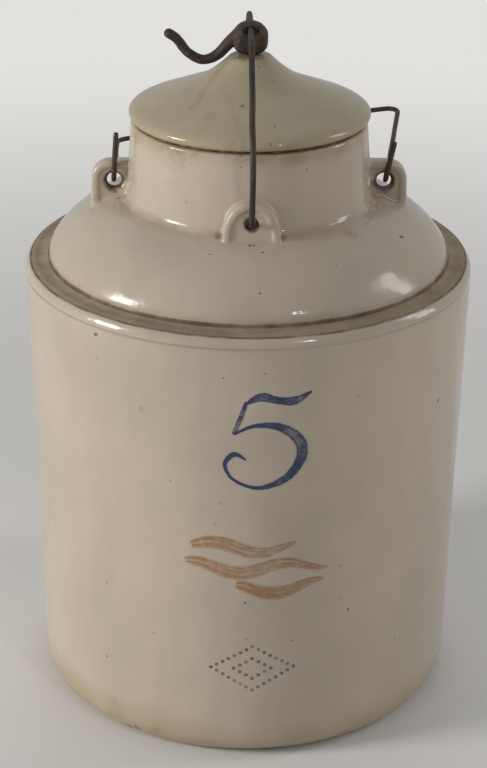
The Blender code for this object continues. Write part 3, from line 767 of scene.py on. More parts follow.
def glaze_skin(finish, pits=0.0, bare=None):
    """The glaze's gloss, its ripple, its throwing rings and its fine peel. Bare clay is dull."""
    rings = finish.cloud(75.0, 1.0, 0.4, vector=finish.stretched((0.03, 0.03, 1.0)))
    rippled = finish.bump(finish.cloud(70.0), 0.0008, 0.6)
    ringed = finish.bump(rings, 0.0006, 0.5, rippled)
    peeled = finish.bump(finish.cloud(420.0, 1.0), 0.00007, 0.5, ringed)
    finish.set("Normal", finish.bump(1 - pits, 0.0004, 0.6, peeled))
    gloss = finish.step(finish.cloud(30.0), 0.35, 0.7, 0.10, 0.20) + pits * 0.4
    if bare is not None:
        gloss = gloss * (1 - bare) + bare * 0.85
    finish.set("Roughness", gloss)


def crock_finish(colours, sizes):
    """The crock's glaze, with its bare ledge and foot, tan stains, and rust at the ears."""
    finish = Finish("crock_glaze", colours.glaze)
    ledge = sizes.ledge_height
    loose = finish.warped(180.0, 0.0022)
    ragged = finish.warped(110.0, 0.008)
    x, y, z = finish.axes()
    radius = (x * x + y * y) ** 0.5
    wander = finish.cloud(24.0) - 0.5
    dirty = finish.patches(48.0, 0.36, 0.64, 3.0, 0.65)
    lay_thin_glaze(finish, colours.glaze_grey)

    finish.lay((1 - finish.step(z + wander * 0.03, 0.004, 0.034)) * 0.60, colours.stain)
    lip = sizes.neck_top_height
    under_lip = finish.step(z + wander * 0.012, lip - 0.011, lip - 0.001)
    finish.lay(under_lip * (0.20 + 0.50 * dirty), colours.stain)
    finish.lay(marks_at(finish, ragged, tan_stains, 1.3) * (0.12 + 0.38 * dirty), colours.stain)
    finish.lay(marks_at(finish, loose, small_stains, 1.3) * 0.45, colours.stain)
    pits = lay_specks(finish, colours)
    finish.lay(marks_at(finish, loose, iron_specks, 1.2) * 0.85, colours.grime)

    neck_foot = sizes.neck_top_radius + sizes.neck_flare
    corner_z = ledge + 0.96 * sizes.shoulder_rise
    from_corner = ((radius - neck_foot) ** 2 + (z - corner_z) ** 2) ** 0.5
    finish.lay((1 - finish.step(from_corner, 0.0030, 0.0058)) * dirty * 0.42, colours.stain)
    over_ledge = 1 - finish.step(z + wander * 0.004, ledge + 0.001, ledge + 0.0075)
    over_ledge = over_ledge * finish.step(z, ledge + 0.0002, ledge + 0.0008)
    finish.lay(over_ledge * dirty * 0.35, colours.stain)
    # Lays the dark grime colour in spots at the feet of the ears
    finish.lay(marks_at(finish, loose, ear_foot_marks, 1.4) * 0.50, colours.grime)
    rusted = finish.step(marks_at(finish, loose, rust_runs, 1.35), 0.12, 0.62)
    finish.lay(rusted * (0.55 + 0.35 * dirty), colours.rust)

    inner = sizes.body_radius - sizes.ledge_width
    on_ledge = finish.band(radius + wander * 0.0012, inner - 0.0002, inner + 0.0125, 0.0004)
    on_ledge = on_ledge * finish.band(z, ledge - 0.004, ledge + 0.0011, 0.0004)
    sole = 1 - finish.step(z + wander * 0.002, 0.0012, 0.0030)
    chipped = finish.step(marks_at(finish, loose, chips, 1.2), 0.35, 0.60)
    bare = finish.greater(finish.greater(on_ledge, sole), chipped)
    dark_clay = [part * 0.72 for part in colours.clay]
    finish.lay(bare, finish.mix(finish.patches(45.0, 0.35, 0.70, 4.0, 0.65), colours.clay, dark_clay))
    # Darker lines in the grime colour along both edges of the bare ledge: where it meets the foot of the
    # shoulder, and where the rim's glaze starts
    for edge in (inner + 0.0003, sizes.body_radius - 0.0034):
        line = finish.band(radius, edge - 0.0004, edge + 0.0004, 0.0007)
        line = line * finish.band(z, ledge - 0.003, ledge + 0.0018, 0.0005)
        finish.lay(line * (0.35 + 0.45 * dirty), colours.grime)
    finish.set("Base Color", finish.ground)
    glaze_skin(finish, finish.greater(pits, chipped), bare)
    return finish.material


def cobalt_finish(colours):
    """Cobalt under the glaze: dark where it pooled at the edges and in thin strokes."""
    finish = Finish("cobalt_brushwork", colours.cobalt)
    edge = 1 - finish.maths("ABSOLUTE", finish.attribute("across"))
    thick = finish.step(finish.attribute("fullness"), 0.40, 0.85)
    pale = finish.step(edge, 0.20, 0.62) * thick * finish.patches(95.0, 0.40, 0.62, 3.0, 0.6)
    finish.set("Base Color", finish.mix(pale * 0.8, colours.cobalt, colours.cobalt_thin))
    grain = finish.cloud(420.0, 3.0, 0.7) - 0.5
    finish.set("Alpha", finish.step(edge + grain * 0.5, 0.02, 0.30) * (0.92 - pale * 0.40))
    glaze_skin(finish)
    return finish.material


def brushed_rust_finish(colours):
    """Thin rust brown laid on with a dry brush, in streaks that follow the stroke."""
    finish = Finish("brushed_rust", colours.brush_rust)
    across = finish.attribute("across")
    height = finish.axes()[2]
    hairs = finish.node("CombineXYZ", {0: finish.attribute("along") * 22.0, 1: across * 7.0, 2: height * 9.0})
    streaks = finish.step(finish.cloud(1.0, 3.0, 0.65, vector=hairs), 0.40, 0.60)
    edge = 1 - finish.maths("ABSOLUTE", across)
    worn = finish.patches(210.0, 0.36, 0.60, 3.0, 0.7)
    finish.set("Base Color", finish.mix((1 - streaks) * 0.4, colours.brush_rust, colours.stain))
    finish.set("Alpha", finish.step(edge, 0.02, 0.40) * (0.24 + 0.56 * streaks) * (0.55 + 0.45 * worn))
    glaze_skin(finish)
    return finish.material


def dot_finish(colours):
    """Faded blue, worn through in places."""
    finish = Finish("dotted_blue", colours.dot_blue)
    worn = finish.patches(330.0, 0.35, 0.60, 3.0, 0.7)
    finish.set("Base Color", finish.mix(worn * 0.3, colours.dot_blue, colours.cobalt_thin))
    finish.set("Alpha", 0.25 + 0.55 * worn)
    glaze_skin(finish)
    return finish.material


def lid_finish(colours, sizes):
    """The lid's yellower glaze, with a tan stain and painted shade at its rim, and worn round the top of its
    knob.
    """
    finish = Finish("lid_glaze", colours.lid_glaze)
    seat, top = sizes.lid_seat_height, sizes.lid_top_height
    loose = finish.warped(180.0, 0.0022)
    ragged = finish.warped(110.0, 0.006)
    z = finish.axes()[2]
    wander = finish.cloud(30.0) - 0.5
    dirty = finish.patches(60.0, 0.38, 0.66, 3.0, 0.65)
    lay_thin_glaze(finish, colours.lid_glaze_grey)
    # Tan stain and painted shade along the lid's lowest edge, whose underside faces down
    rim = 1 - finish.step(z + wander * 0.006, seat + 0.0005, seat + 0.0060)
    finish.lay(rim * (0.45 + 0.40 * dirty), colours.stain)
    finish.lay(marks_at(finish, ragged, lid_stains, 1.4) * (0.10 + 0.34 * dirty), colours.stain)
    crown = finish.step(z + wander * 0.004, top - 0.0042, top - 0.0008)
    finish.lay(crown * finish.patches(190.0, 0.42, 0.60, 3.0, 0.7) * 0.7, colours.stain)
    pits = lay_specks(finish, colours)
    finish.lay(marks_at(finish, loose, lid_specks, 1.2) * 0.85, colours.grime)
    finish.set("Base Color", finish.ground)
    glaze_skin(finish, pits)
    return finish.material


def iron_finish(name, colours, browner, pitting):
    """Dark iron under brown rust, smoother where hands have worn it."""
    finish = Finish(name, colours.iron)
    rust = finish.patches(130.0, 0.62 - browner, 0.80 - browner, 4.0, 0.65)
    finish.lay(finish.patches(60.0, 0.50, 0.72) * 0.6, colours.worn_iron)
    finish.lay(rust * 0.85, colours.rust)
    finish.set("Base Color", finish.ground)
    finish.set("Metallic", 0.30 * (1 - rust))
    finish.set("Roughness", 0.52 + rust * 0.30)
    scaled = finish.bump(finish.cloud(900.0, 3.0, 0.6), pitting * 0.3, 0.7)
    finish.set("Normal", finish.bump(finish.cloud(260.0, 3.0, 0.6), pitting, 0.8, scaled))
    return finish.material


def rubber_finish(colours):
    """Perished rubber, with dust in its cracks."""
    finish = Finish("perished_rubber", colours.rubber, 0.85)
    dust = finish.patches(70.0, 0.44, 0.66, 4.0, 0.75)
    finish.set("Base Color", finish.mix(dust * 0.65, colours.rubber, colours.stain))
    finish.set("Normal", finish.bump(finish.cloud(700.0, 3.0, 0.7), 0.0003, 0.9))
    return finish.material


def wood_finish(colours, turn):
    """Turned wood, with its grain along the grip."""
    finish = Finish("turned_wood", colours.wood)
    along = finish.node("Mapping", {"Vector": finish.place, "Rotation": turn})
    drawn = finish.stretched((1.0, 1.0, 0.06), vector=along)
    grain = finish.cloud(420.0, 4.0, 0.6, 0.6, drawn)
    bands = finish.cloud(90.0, 3.0, 0.5, 0.8, drawn)
    finish.lay(finish.step(bands, 0.40, 0.66) * 0.7, colours.wood_dark)
    finish.lay(finish.step(grain, 0.52, 0.70) * 0.6, colours.wood_dark)
    finish.set("Base Color", finish.ground)
    finish.set("Roughness", finish.step(grain, 0.4, 0.7, 0.36, 0.55))
    finish.set("Normal", finish.bump(grain, 0.0003, 0.5))
    return finish.material


# Operators


class CROCK_OT_stage(bpy.types.Operator):
    """Make the pale floor, the soft lamps and the camera."""

    bl_idname = "crock.stage"
    bl_label = "Studio Stage"

    floor_radius = 30.0
    paper_glow = 0.95
    paper_glow_mirrored = 0.35
    glow_starts, glow_full = 0.35, 1.60
    sky = (0.90, 0.92, 0.95, 1.0)
    sky_strength = 0.27

    # Name, place, width, height, power and colour of each lamp, and whether the glaze mirrors it
    lamps = (
        ("key_lamp", (-1.68, -0.53, 0.74), 0.45, 0.60, 20.5, (1.0, 0.97, 0.94), True),
        ("edge_lamp", (1.30, 0.05, 0.75), 0.3, 0.9, 3.6, (1.0, 0.99, 0.97), True),
        ("window_lamp", (0.85, -1.55, 1.25), 0.14, 0.26, 2.6, (1.0, 0.99, 0.97), True),
        ("top_lamp", (0.1, 1.3, 1.9), 1.2, 1.2, 5.0, (1.0, 0.98, 0.96), False),
    )
    lamps_aim = Vector((0, 0, 0.25))

    # The lens, place, aim and tilt that put the crock's outlines where the photograph has them
    lens_length, film_width = 94.71, 36.0
    camera_place = Vector((-0.0288, -1.2677, 0.7969))
    camera_aim = Vector((0.01887, 0.90739, -0.41987))
    camera_tilt = 0.0093

    def execute(self, context):
        scene = context.scene
        scene.view_settings.view_transform = "Standard"
        self.make_floor(scene.crock_colours)
        scene.world = self.studio(scene.crock_colours)
        for lamp in self.lamps:
            self.make_lamp(scene, *lamp)
        self.make_camera(scene)
        return {"FINISHED"}

    def make_floor(self, colours):
        shape = bmesh.new()
        bmesh.ops.create_circle(shape, cap_ends=True, segments=96, radius=self.floor_radius)
        floor = placed(shape, "studio_floor")
        floor.data.materials.append(self.paper(colours))

    def paper(self, colours):
        """Pale paper that the camera sees evenly lit behind the crock."""
        finish = Finish("floor_paper", colours.floor, 0.9)
        near = finish.spot(finish.place, (0.0, 0.0, 0.0), self.glow_starts, self.glow_full)
        glow = finish.node("Emission", {"Color": (*finish.ground, 1.0), "Strength": self.paper_glow})
        lit = Value(finish, finish.shader.outputs[0])
        finish.surface(finish.node("MixShader", {0: self.seen(finish) * (1 - near), 1: lit, 2: glow}))
        return finish.material

    def studio(self, colours):
        """A soft even light, and over the horizon the same pale paper as the floor's far end."""
        finish = Finish("studio", colours.floor, world=True)
        finish.set("Color", self.sky)
        finish.set("Strength", self.sky_strength)
        falling = Value(finish, finish.shader.outputs[0])
        pale = finish.node("Background", {"Color": (*finish.ground, 1.0), "Strength": self.paper_glow})
        finish.surface(finish.node("MixShader", {0: self.seen(finish), 1: falling, 2: pale}))
        return finish.material

    def seen(self, finish):
        """1 for what the camera sees straight or through glass, less in a mirror, 0 for falling light."""
        straight, mirrored, through = (
            finish.node("LightPath", {}, output=f"Is {kind} Ray")
            for kind in ("Camera", "Glossy", "Transmission")
        )
        return finish.maths("MINIMUM", straight + through + mirrored * self.paper_glow_mirrored, 1.0)

    def make_lamp(self, scene, name, place, width, height, power, warmth, mirrored):
        light = bpy.data.lights.new(name, "AREA")
        light.shape = "RECTANGLE"
        light.size = width
        light.size_y = height
        light.energy = power
        light.color = warmth
        lamp = bpy.data.objects.new(name, light)
        lamp.location = place
        lamp.rotation_euler = (self.lamps_aim - Vector(place)).to_track_quat("-Z", "Y").to_euler()
        lamp.visible_glossy = mirrored
        scene.collection.objects.link(lamp)

    def make_camera(self, scene):
        lens = bpy.data.cameras.new("photo_camera")
        lens.lens = self.lens_length
        lens.sensor_width = self.film_width
        lens.clip_start = 0.05
        camera = bpy.data.objects.new("photo_camera", lens)
        place = Matrix.Translation(self.camera_place)
        aim = self.camera_aim.to_track_quat("-Z", "Y").to_matrix().to_4x4()
        camera.matrix_world = place @ aim @ Matrix.Rotation(self.camera_tilt, 4, "Z")
        scene.collection.objects.link(camera)
        scene.camera = camera


class CROCK_OT_jar(bpy.types.Operator):
    """Turn the crock's wall, shoulder and neck as one piece."""

    bl_idname = "crock.jar"
    bl_label = "Crock Wall"

    inner_rounding = 0.016
    wall_rows = 120

    # How far in from the shoulder's foot the vault under it starts, in wall thicknesses
    vault_inset = 0.75

    def execute(self, context):
        sizes = context.scene.crock_sizes
        shape = spun(self.profile(sizes), sizes.round_steps)
        stray(shape, sizes.hand_wobble, size=0.09, seed=3.0, above=sizes.foot_rounding)
        material = crock_finish(context.scene.crock_colours, sizes)
        body_piece(shape, "crock_wall", material, "crock", "cream_glaze", "jar")
        return {"FINISHED"}

    def profile(self, sizes):
        """Points (radius, height) from the middle of the floor up the inside and down the outside."""
        ledge, radius, wall = sizes.ledge_height, sizes.body_radius, sizes.wall
        foot = radius - sizes.foot_inset
        inner_foot = foot - wall
        vault_foot = radius - sizes.ledge_width - self.vault_inset * wall
        vault_top = (sizes.neck_top_radius - sizes.neck_wall, ledge - wall + sizes.shoulder_rise)
        lip = sizes.lip_rounding
        lip_z = sizes.neck_top_height - lip
        rounding = self.inner_rounding
        inside = [
            (0.0, sizes.floor),
            *arc((inner_foot - rounding, sizes.floor + rounding), rounding, -90, 0, 8),
            *arc((vault_foot, ledge - 2 * wall), radius - wall - vault_foot, 0, 60, 5),
            *reversed(swell((vault_foot, ledge - wall), vault_top, sizes.shoulder_fullness, 10)),
            *arc((vault_top[0] + lip, lip_z), lip, 180, 90, 6),
        ]
        outer_lip = arc((sizes.neck_top_radius - lip, lip_z), lip, 90, 0, 6)
        rim = (radius - sizes.rim_rounding, ledge - sizes.rim_rounding)
        side = [
            (out - sizes.rim_groove * bell(height - sizes.rim_groove_height, sizes.rim_groove_spread), height)
            for out, height in even_line((radius, rim[1]), (foot, sizes.foot_rounding), self.wall_rows)
        ]
        outside = [
            *outer_lip,
            *shoulder_outline(sizes, outer_lip[-1])[1:],
            (radius - sizes.ledge_width, ledge - sizes.glaze_step),
            *arc(rim, sizes.rim_rounding - sizes.glaze_step, 90, 57, 5),
            *arc(rim, sizes.rim_rounding, 55, 0, 10),
            *side,
            *arc((foot - sizes.foot_rounding, sizes.foot_rounding), sizes.foot_rounding, 0, -90, 12),
            (0.0, 0.0),
        ]
        return [*inside, *outside]


class CROCK_OT_ears(bpy.types.Operator):
    """Model the four ears, with soft seams where they were stuck to the neck."""

    bl_idname = "crock.ears"
    bl_label = "Ears"

    # Each ear's node, the way it faces in degrees, and the angle and the reach of its patch of neck
    ears = (
        ("front_ear", -90, 36, 0.100),
        ("back_ear", 90, 36, 0.100),
        ("left_ear", 180, 18, 0.114),
        ("right_ear", 0, 18, 0.114),
    )
    patch_depth = 0.004
    patch_top_drop = 0.018
    patch_top_lift = 0.0011
    patch_steps = 18
    skin_rounds = 28
    seam_rounds = 14

    def execute(self, context):
        sizes = context.scene.crock_sizes
        wall = wall_tree()
        material = bpy.data.materials["crock_glaze"]
        for node, facing, spread, reach in self.ears:
            shape = self.ear(sizes, node, math.radians(facing), math.radians(spread), reach)
            self.soften_seam(sizes, wall, shape)
            body_piece(shape, f"luted_{node}", material, "crock", "cream_glaze", node)
        return {"FINISHED"}

    def ear(self, sizes, node, facing, spread, reach):
        """The ear's solid under one skin with a patch of the neck that it stands on."""
        shape = bmesh.new()
        shape.from_mesh(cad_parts[node].data)
        bmesh.ops.remove_doubles(shape, verts=shape.verts, dist=weld)
        top = (sizes.neck_top_radius + self.patch_top_lift, sizes.neck_top_height - self.patch_top_drop)
        outline = [point for point in shoulder_outline(sizes, top) if point[0] < reach]
        section = [*beside(outline, sizes.ear_voxel), *reversed(beside(outline, -self.patch_depth))]
        face = shape.faces.new([shape.verts.new((radius, 0.0, height)) for radius, height in section])
        patch = [face, *face.edges, *face.verts]
        start = Matrix.Rotation(facing - spread / 2, 3, "Z")
        bmesh.ops.rotate(shape, verts=face.verts, cent=(0, 0, 0), matrix=start)
        bmesh.ops.spin(
            shape, geom=patch, cent=(0, 0, 0), axis=(0, 0, 1), angle=spread, steps=self.patch_steps
        )
        bmesh.ops.recalc_face_normals(shape, faces=shape.faces)
        return fused(shape, sizes.ear_voxel, self.skin_rounds)

    def soften_seam(self, sizes, wall, shape):
        """Smooths the ear into the neck, and sinks what is bare neck just under the wall."""
        near = [point for point in shape.verts if self.height_over(wall, point.co)[0] < sizes.luting_reach]
        for _ in range(self.seam_rounds):
            bmesh.ops.smooth_vert(
                shape, verts=near, factor=0.5, use_axis_x=True, use_axis_y=True, use_axis_z=True
            )
        sink = 2 * sizes.ear_voxel
        for point in shape.verts:
            height, normal = self.height_over(wall, point.co)
            low = min(1.0, max(0.0, 1 - height / sizes.luting_reach))
            point.co -= normal * sink * low * low * (3 - 2 * low)

    def height_over(self, wall, place):
        near, normal, _, _ = wall.find_nearest(place)
        return (place - near).dot(normal), normal


class CROCK_OT_numeral(bpy.types.Operator):
    """Paint the numeral 5 on the crock's front."""

    bl_idname = "crock.numeral"
    bl_label = "Numeral"

    # Places in shares of the numeral's size, each with its share of the thickest stroke's width
    strokes = (
        (
            (-0.20, 0.40, 0.25), (-0.06, 0.47, 0.85), (0.10, 0.43, 0.70), (0.26, 0.42, 0.80),
            (0.42, 0.50, 0.20),
        ),
        ((-0.20, 0.42, 0.30), (-0.25, 0.26, 0.45), (-0.32, 0.08, 0.30)),
        (
            (-0.32, 0.08, 0.22), (-0.12, 0.17, 0.40), (0.12, 0.15, 0.75), (0.31, 0.00, 1.0),
            (0.33, -0.20, 1.0), (0.18, -0.40, 0.75), (-0.08, -0.49, 0.40), (-0.32, -0.40, 0.28),
            (-0.40, -0.24, 0.38), (-0.31, -0.13, 0.50), (-0.20, -0.19, 0.12),
        ),
    )
    rows_between_places = 14

    def execute(self, context):
        sizes = context.scene.crock_marks
        size = sizes.numeral_size
        paint = PaintLayer(context.scene)
        for under, stroke in enumerate(self.strokes):
            places = [
                Vector((sizes.numeral_place + x * size, sizes.numeral_height + y * size))
                for x, y, _ in stroke
            ]
            rows = self.rows_between_places * (len(stroke) - 1)
            shares = smooth_path([width for _, _, width in stroke], rows)
            widths = [width * sizes.numeral_stroke for width in shares]
            paint.stroke(smooth_path(places, rows), widths, under)
        material = cobalt_finish(context.scene.crock_colours)
        body_piece(paint.shape, "painted_numeral", material, "crock", "cream_glaze")
        return {"FINISHED"}


class CROCK_OT_brushed_waves(bpy.types.Operator):
    """Brush three rust brown waves under the numeral."""

    bl_idname = "crock.brushed_waves"
    bl_label = "Brushed Waves"

    # Each wave's length and its shift along the wall, in shares of the longest
    waves = ((0.72, -0.10), (1.0, 0.0), (0.62, 0.16))
    rows = 60
    swings = 1.6
    blunt_start = 0.04
    fullness = 0.4
    thinning = 0.45

    def execute(self, context):
        sizes = context.scene.crock_marks
        paint = PaintLayer(context.scene)
        for order, (length_share, shift) in enumerate(self.waves):
            reach = sizes.brush_size * length_share
            middle = sizes.brush_place + shift * sizes.brush_size
            path, widths = [], []
            for index in range(self.rows):
                t = index / (self.rows - 1)
                swing = math.sin(math.tau * self.swings * length_share * t + order) * sizes.brush_swing
                height = sizes.brush_height + (1 - order) * sizes.brush_spacing + swing
                path.append(Vector((middle + (t - 0.5) * reach, height)))
                round_ends = math.sin(math.pi * (self.blunt_start + (1 - self.blunt_start) * t))
                widths.append(sizes.brush_stroke * round_ends**self.fullness * (1 - self.thinning * t))
            paint.stroke(path, widths)
        material = brushed_rust_finish(context.scene.crock_colours)
        body_piece(paint.shape, "brushed_waves", material, "crock", "cream_glaze")
        return {"FINISHED"}


class CROCK_OT_dotted_lozenge(bpy.types.Operator):
    """Dab a lozenge of grey blue dots low on the crock."""

    bl_idname = "crock.dotted_lozenge"
    bl_label = "Dotted Lozenge"

    # Each ring's size as a share of the whole, and its number of dots
    rings = ((1.0, 28), (0.45, 12))
    corners = ((1, 0), (0, 1), (-1, 0), (0, -1), (1, 0))

    def execute(self, context):
        sizes = context.scene.crock_marks
        paint = PaintLayer(context.scene)
        middle = Vector((sizes.dots_place, sizes.dots_height))
        for ring_share, count in self.rings:
            for index in range(count):
                side, along = divmod(4 * index / count, 1)
                start, end = (Vector(self.corners[int(side) + step]) for step in (0, 1))
                spot = start.lerp(end, along) * ring_share
                centre = middle + Vector((spot.x * sizes.dots_width, spot.y * sizes.dots_rise)) / 2
                paint.dot(centre, sizes.dot_radius)
        material = dot_finish(context.scene.crock_colours)
        body_piece(paint.shape, "dotted_lozenge", material, "crock", "cream_glaze")
        return {"FINISHED"}


class CROCK_OT_lid(bpy.types.Operator):
    """Turn the lid with its tall knob."""

    bl_idname = "crock.lid"
    bl_label = "Lid"

    # How far the knob's top falls by half its radius, and by its edge
    knob_falls = (0.0001, 0.0004)
    plug_play = 0.0018
    plug_width = 0.0085
    plug_rounding = 0.002
    hollow_rise = 0.0165
    hollow_fullness = 2.1

    # The lid is true up to this height over its seat, and strays by hand above it
    true_height = 0.001

    def execute(self, context):
        sizes = context.scene.crock_sizes
        shape = spun([*self.outside(sizes), *self.underside(sizes)], sizes.round_steps)
        above = sizes.lid_seat_height + self.true_height
        stray(shape, sizes.hand_wobble, size=0.05, seed=8.0, above=above)
        material = lid_finish(context.scene.crock_colours, sizes)
        body_piece(shape, "glazed_lid", material, "lid", "lid_glaze", "lid")
        return {"FINISHED"}

    def outside(self, sizes):
        """Points (radius, height) from the knob's middle out to the flat seat."""
        seat, radius, top = sizes.lid_seat_height, sizes.lid_radius, sizes.lid_top_height
        cut = sizes.knob_rounding * math.sin(math.radians(45))
        edge = (sizes.knob_radius - cut, top - self.knob_falls[1] - sizes.knob_rounding)
        flank_top = (sizes.knob_radius, edge[1] + cut)
        flank_foot = (sizes.knob_foot_radius, seat + sizes.knob_foot_rise)
        pitch = sizes.lid_pitch
        bend = (flank_top[1] + flank_top[0] - flank_foot[1] - pitch * flank_foot[0]) / (1 - pitch)
        flank_bend = (bend, flank_foot[1] - pitch * (bend - flank_foot[0]))
        shoulder_radius = radius - sizes.lid_shoulder_inset
        shoulder = (shoulder_radius, flank_foot[1] - pitch * (shoulder_radius - flank_foot[0]))
        shoulder_bend = (radius, shoulder[1] - pitch * sizes.lid_shoulder_inset)
        widest = (radius, seat + sizes.lid_edge_height)
        return [
            (0.0, top),
            (sizes.knob_radius / 2, top - self.knob_falls[0]),
            *arc(edge, sizes.knob_rounding, 90, 45, 5),
            *bent_line(flank_top, flank_bend, flank_foot, 18),
            *even_line(flank_foot, shoulder, 14),
            *bent_line(shoulder, shoulder_bend, widest, 12),
            *bent_line(widest, (radius, seat), (radius - sizes.lid_seat_inset, seat), 8),
        ]

    def underside(self, sizes):
        """Points (radius, height) from the seat round the plug that centres the lid, and into its hollow."""
        seat, low, rounding = sizes.lid_seat_height, sizes.lid_plug_height, self.plug_rounding
        outer = sizes.neck_top_radius - sizes.neck_wall - self.plug_play
        inner = outer - self.plug_width
        hollow = swell((inner, seat), (0.0, seat + self.hollow_rise), self.hollow_fullness, 12)
        return [
            (outer, seat),
            *arc((outer - rounding, low + rounding), rounding, 0, -90, 5),
            *arc((inner + rounding, low + rounding), rounding, -90, -180, 5),
            *reversed(hollow),
        ]


class CROCK_OT_sealing_ring(bpy.types.Operator):
    """Make the perished ring between lip and lid."""

    bl_idname = "crock.sealing_ring"
    bl_label = "Sealing Ring"

    width = 0.0075
    shrinking = 0.009
    lumps_in_metre = 70

    def execute(self, context):
        low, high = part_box("sealing_ring")
        half = (high.z - low.z) / 2
        middle = (high.z + low.z) / 2
        outer, inner = high.x, high.x - self.width
        section = [
            *arc((outer - half, middle), half, 90, -90, 6),
            *arc((inner + half, middle), half, -90, -270, 6),
        ]
        shape = spun(section, context.scene.crock_sizes.round_steps, closed=True)
        for point in shape.verts:
            point.co.xy *= 1 - self.shrinking * abs(noise.noise(point.co * self.lumps_in_metre))
        material = rubber_finish(context.scene.crock_colours)
        body_piece(shape, "rubber_ring", material, "crock", "perished_rubber", "sealing_ring")
        return {"FINISHED"}


# How far apart a wire's rings of points are, how near what holds it a wire is still true, how many
# kinks it has in a metre, and how much room there is round it in a hole
wire_spacing = 0.0025
wire_true_reach = 0.02
wire_kinks = 28
wire_play = 0.0003

# The rounding of a wire's end and the radii of its last two rings, in shares of its radius
wire_end_rounding = 0.3
wire_end_radii = (0.55, 0.92)


def kinked(path, amount, held):
    """The path bent a little along its arms, but not near the places that hold it."""
    bent = []
    for point in path:
        free = min(1.0, min((point - place).length for place in held) / wire_true_reach)
        kink = point * wire_kinks
        aside = Vector((noise.noise(kink), noise.noise(kink + Vector((7, 3, 5))), 0))
        bent.append(point + aside * 2 * amount * free * free)
    return bent


def wire_shape(sizes, radius, path, held):
    """A round wire along the path, with its ends rounded off."""
    path = kinked(filled_path(path, wire_spacing), sizes.wire_kink, held)
    start, end = (path[0] - path[1]).normalized(), (path[-1] - path[-2]).normalized()
    inset = radius * wire_end_rounding
    path = [path[0], path[0] - start * inset, *path[1:-1], path[-1] - end * inset, path[-1]]
    radii = [radius] * len(path)
    for ring, share_left in enumerate(wire_end_radii):
        radii[ring] = radii[-1 - ring] = share_left * radius
    shape = bmesh.new()
    swept(shape, path, radii, sizes.bead_facets)
    return shape


class CROCK_OT_lock_bail(bpy.types.Operator):
    """Bend the wire that goes over the lid."""

    bl_idname = "crock.lock_bail"
    bl_label = "Lock Bail"

    def execute(self, context):
        sizes = context.scene.crock_iron
        pivot, bar = sizes.lock_pivot_height, sizes.lock_bar_height
        pin = sizes.lock_face_reach - sizes.lock_pin_depth
        arm = sizes.lock_arm_reach
        shoulder = bar - sizes.lock_shoulder_drop
        front = [(pin, pivot), (arm, pivot), (arm, shoulder), (sizes.lock_top_reach, bar)]
        corners = [(0, -out, height) for out, height in front]
        corners += [(0, out, height) for out, height in reversed(front)]
        bends = [sizes.lock_pin_bend, sizes.lock_shoulder_bend, sizes.lock_top_bend]
        path = rounded_path(corners, [*bends, *reversed(bends)])
        held = [path[0], path[-1], Vector((0, 0, bar))]
        shape = wire_shape(sizes, sizes.lock_wire_radius, path, held)
        material = iron_finish("rusty_wire", context.scene.crock_colours, browner=0.10, pitting=0.0004)
        body_piece(shape, "lock_wire", material, "lock_bail", "rusty_wire", "lock_bail")
        return {"FINISHED"}


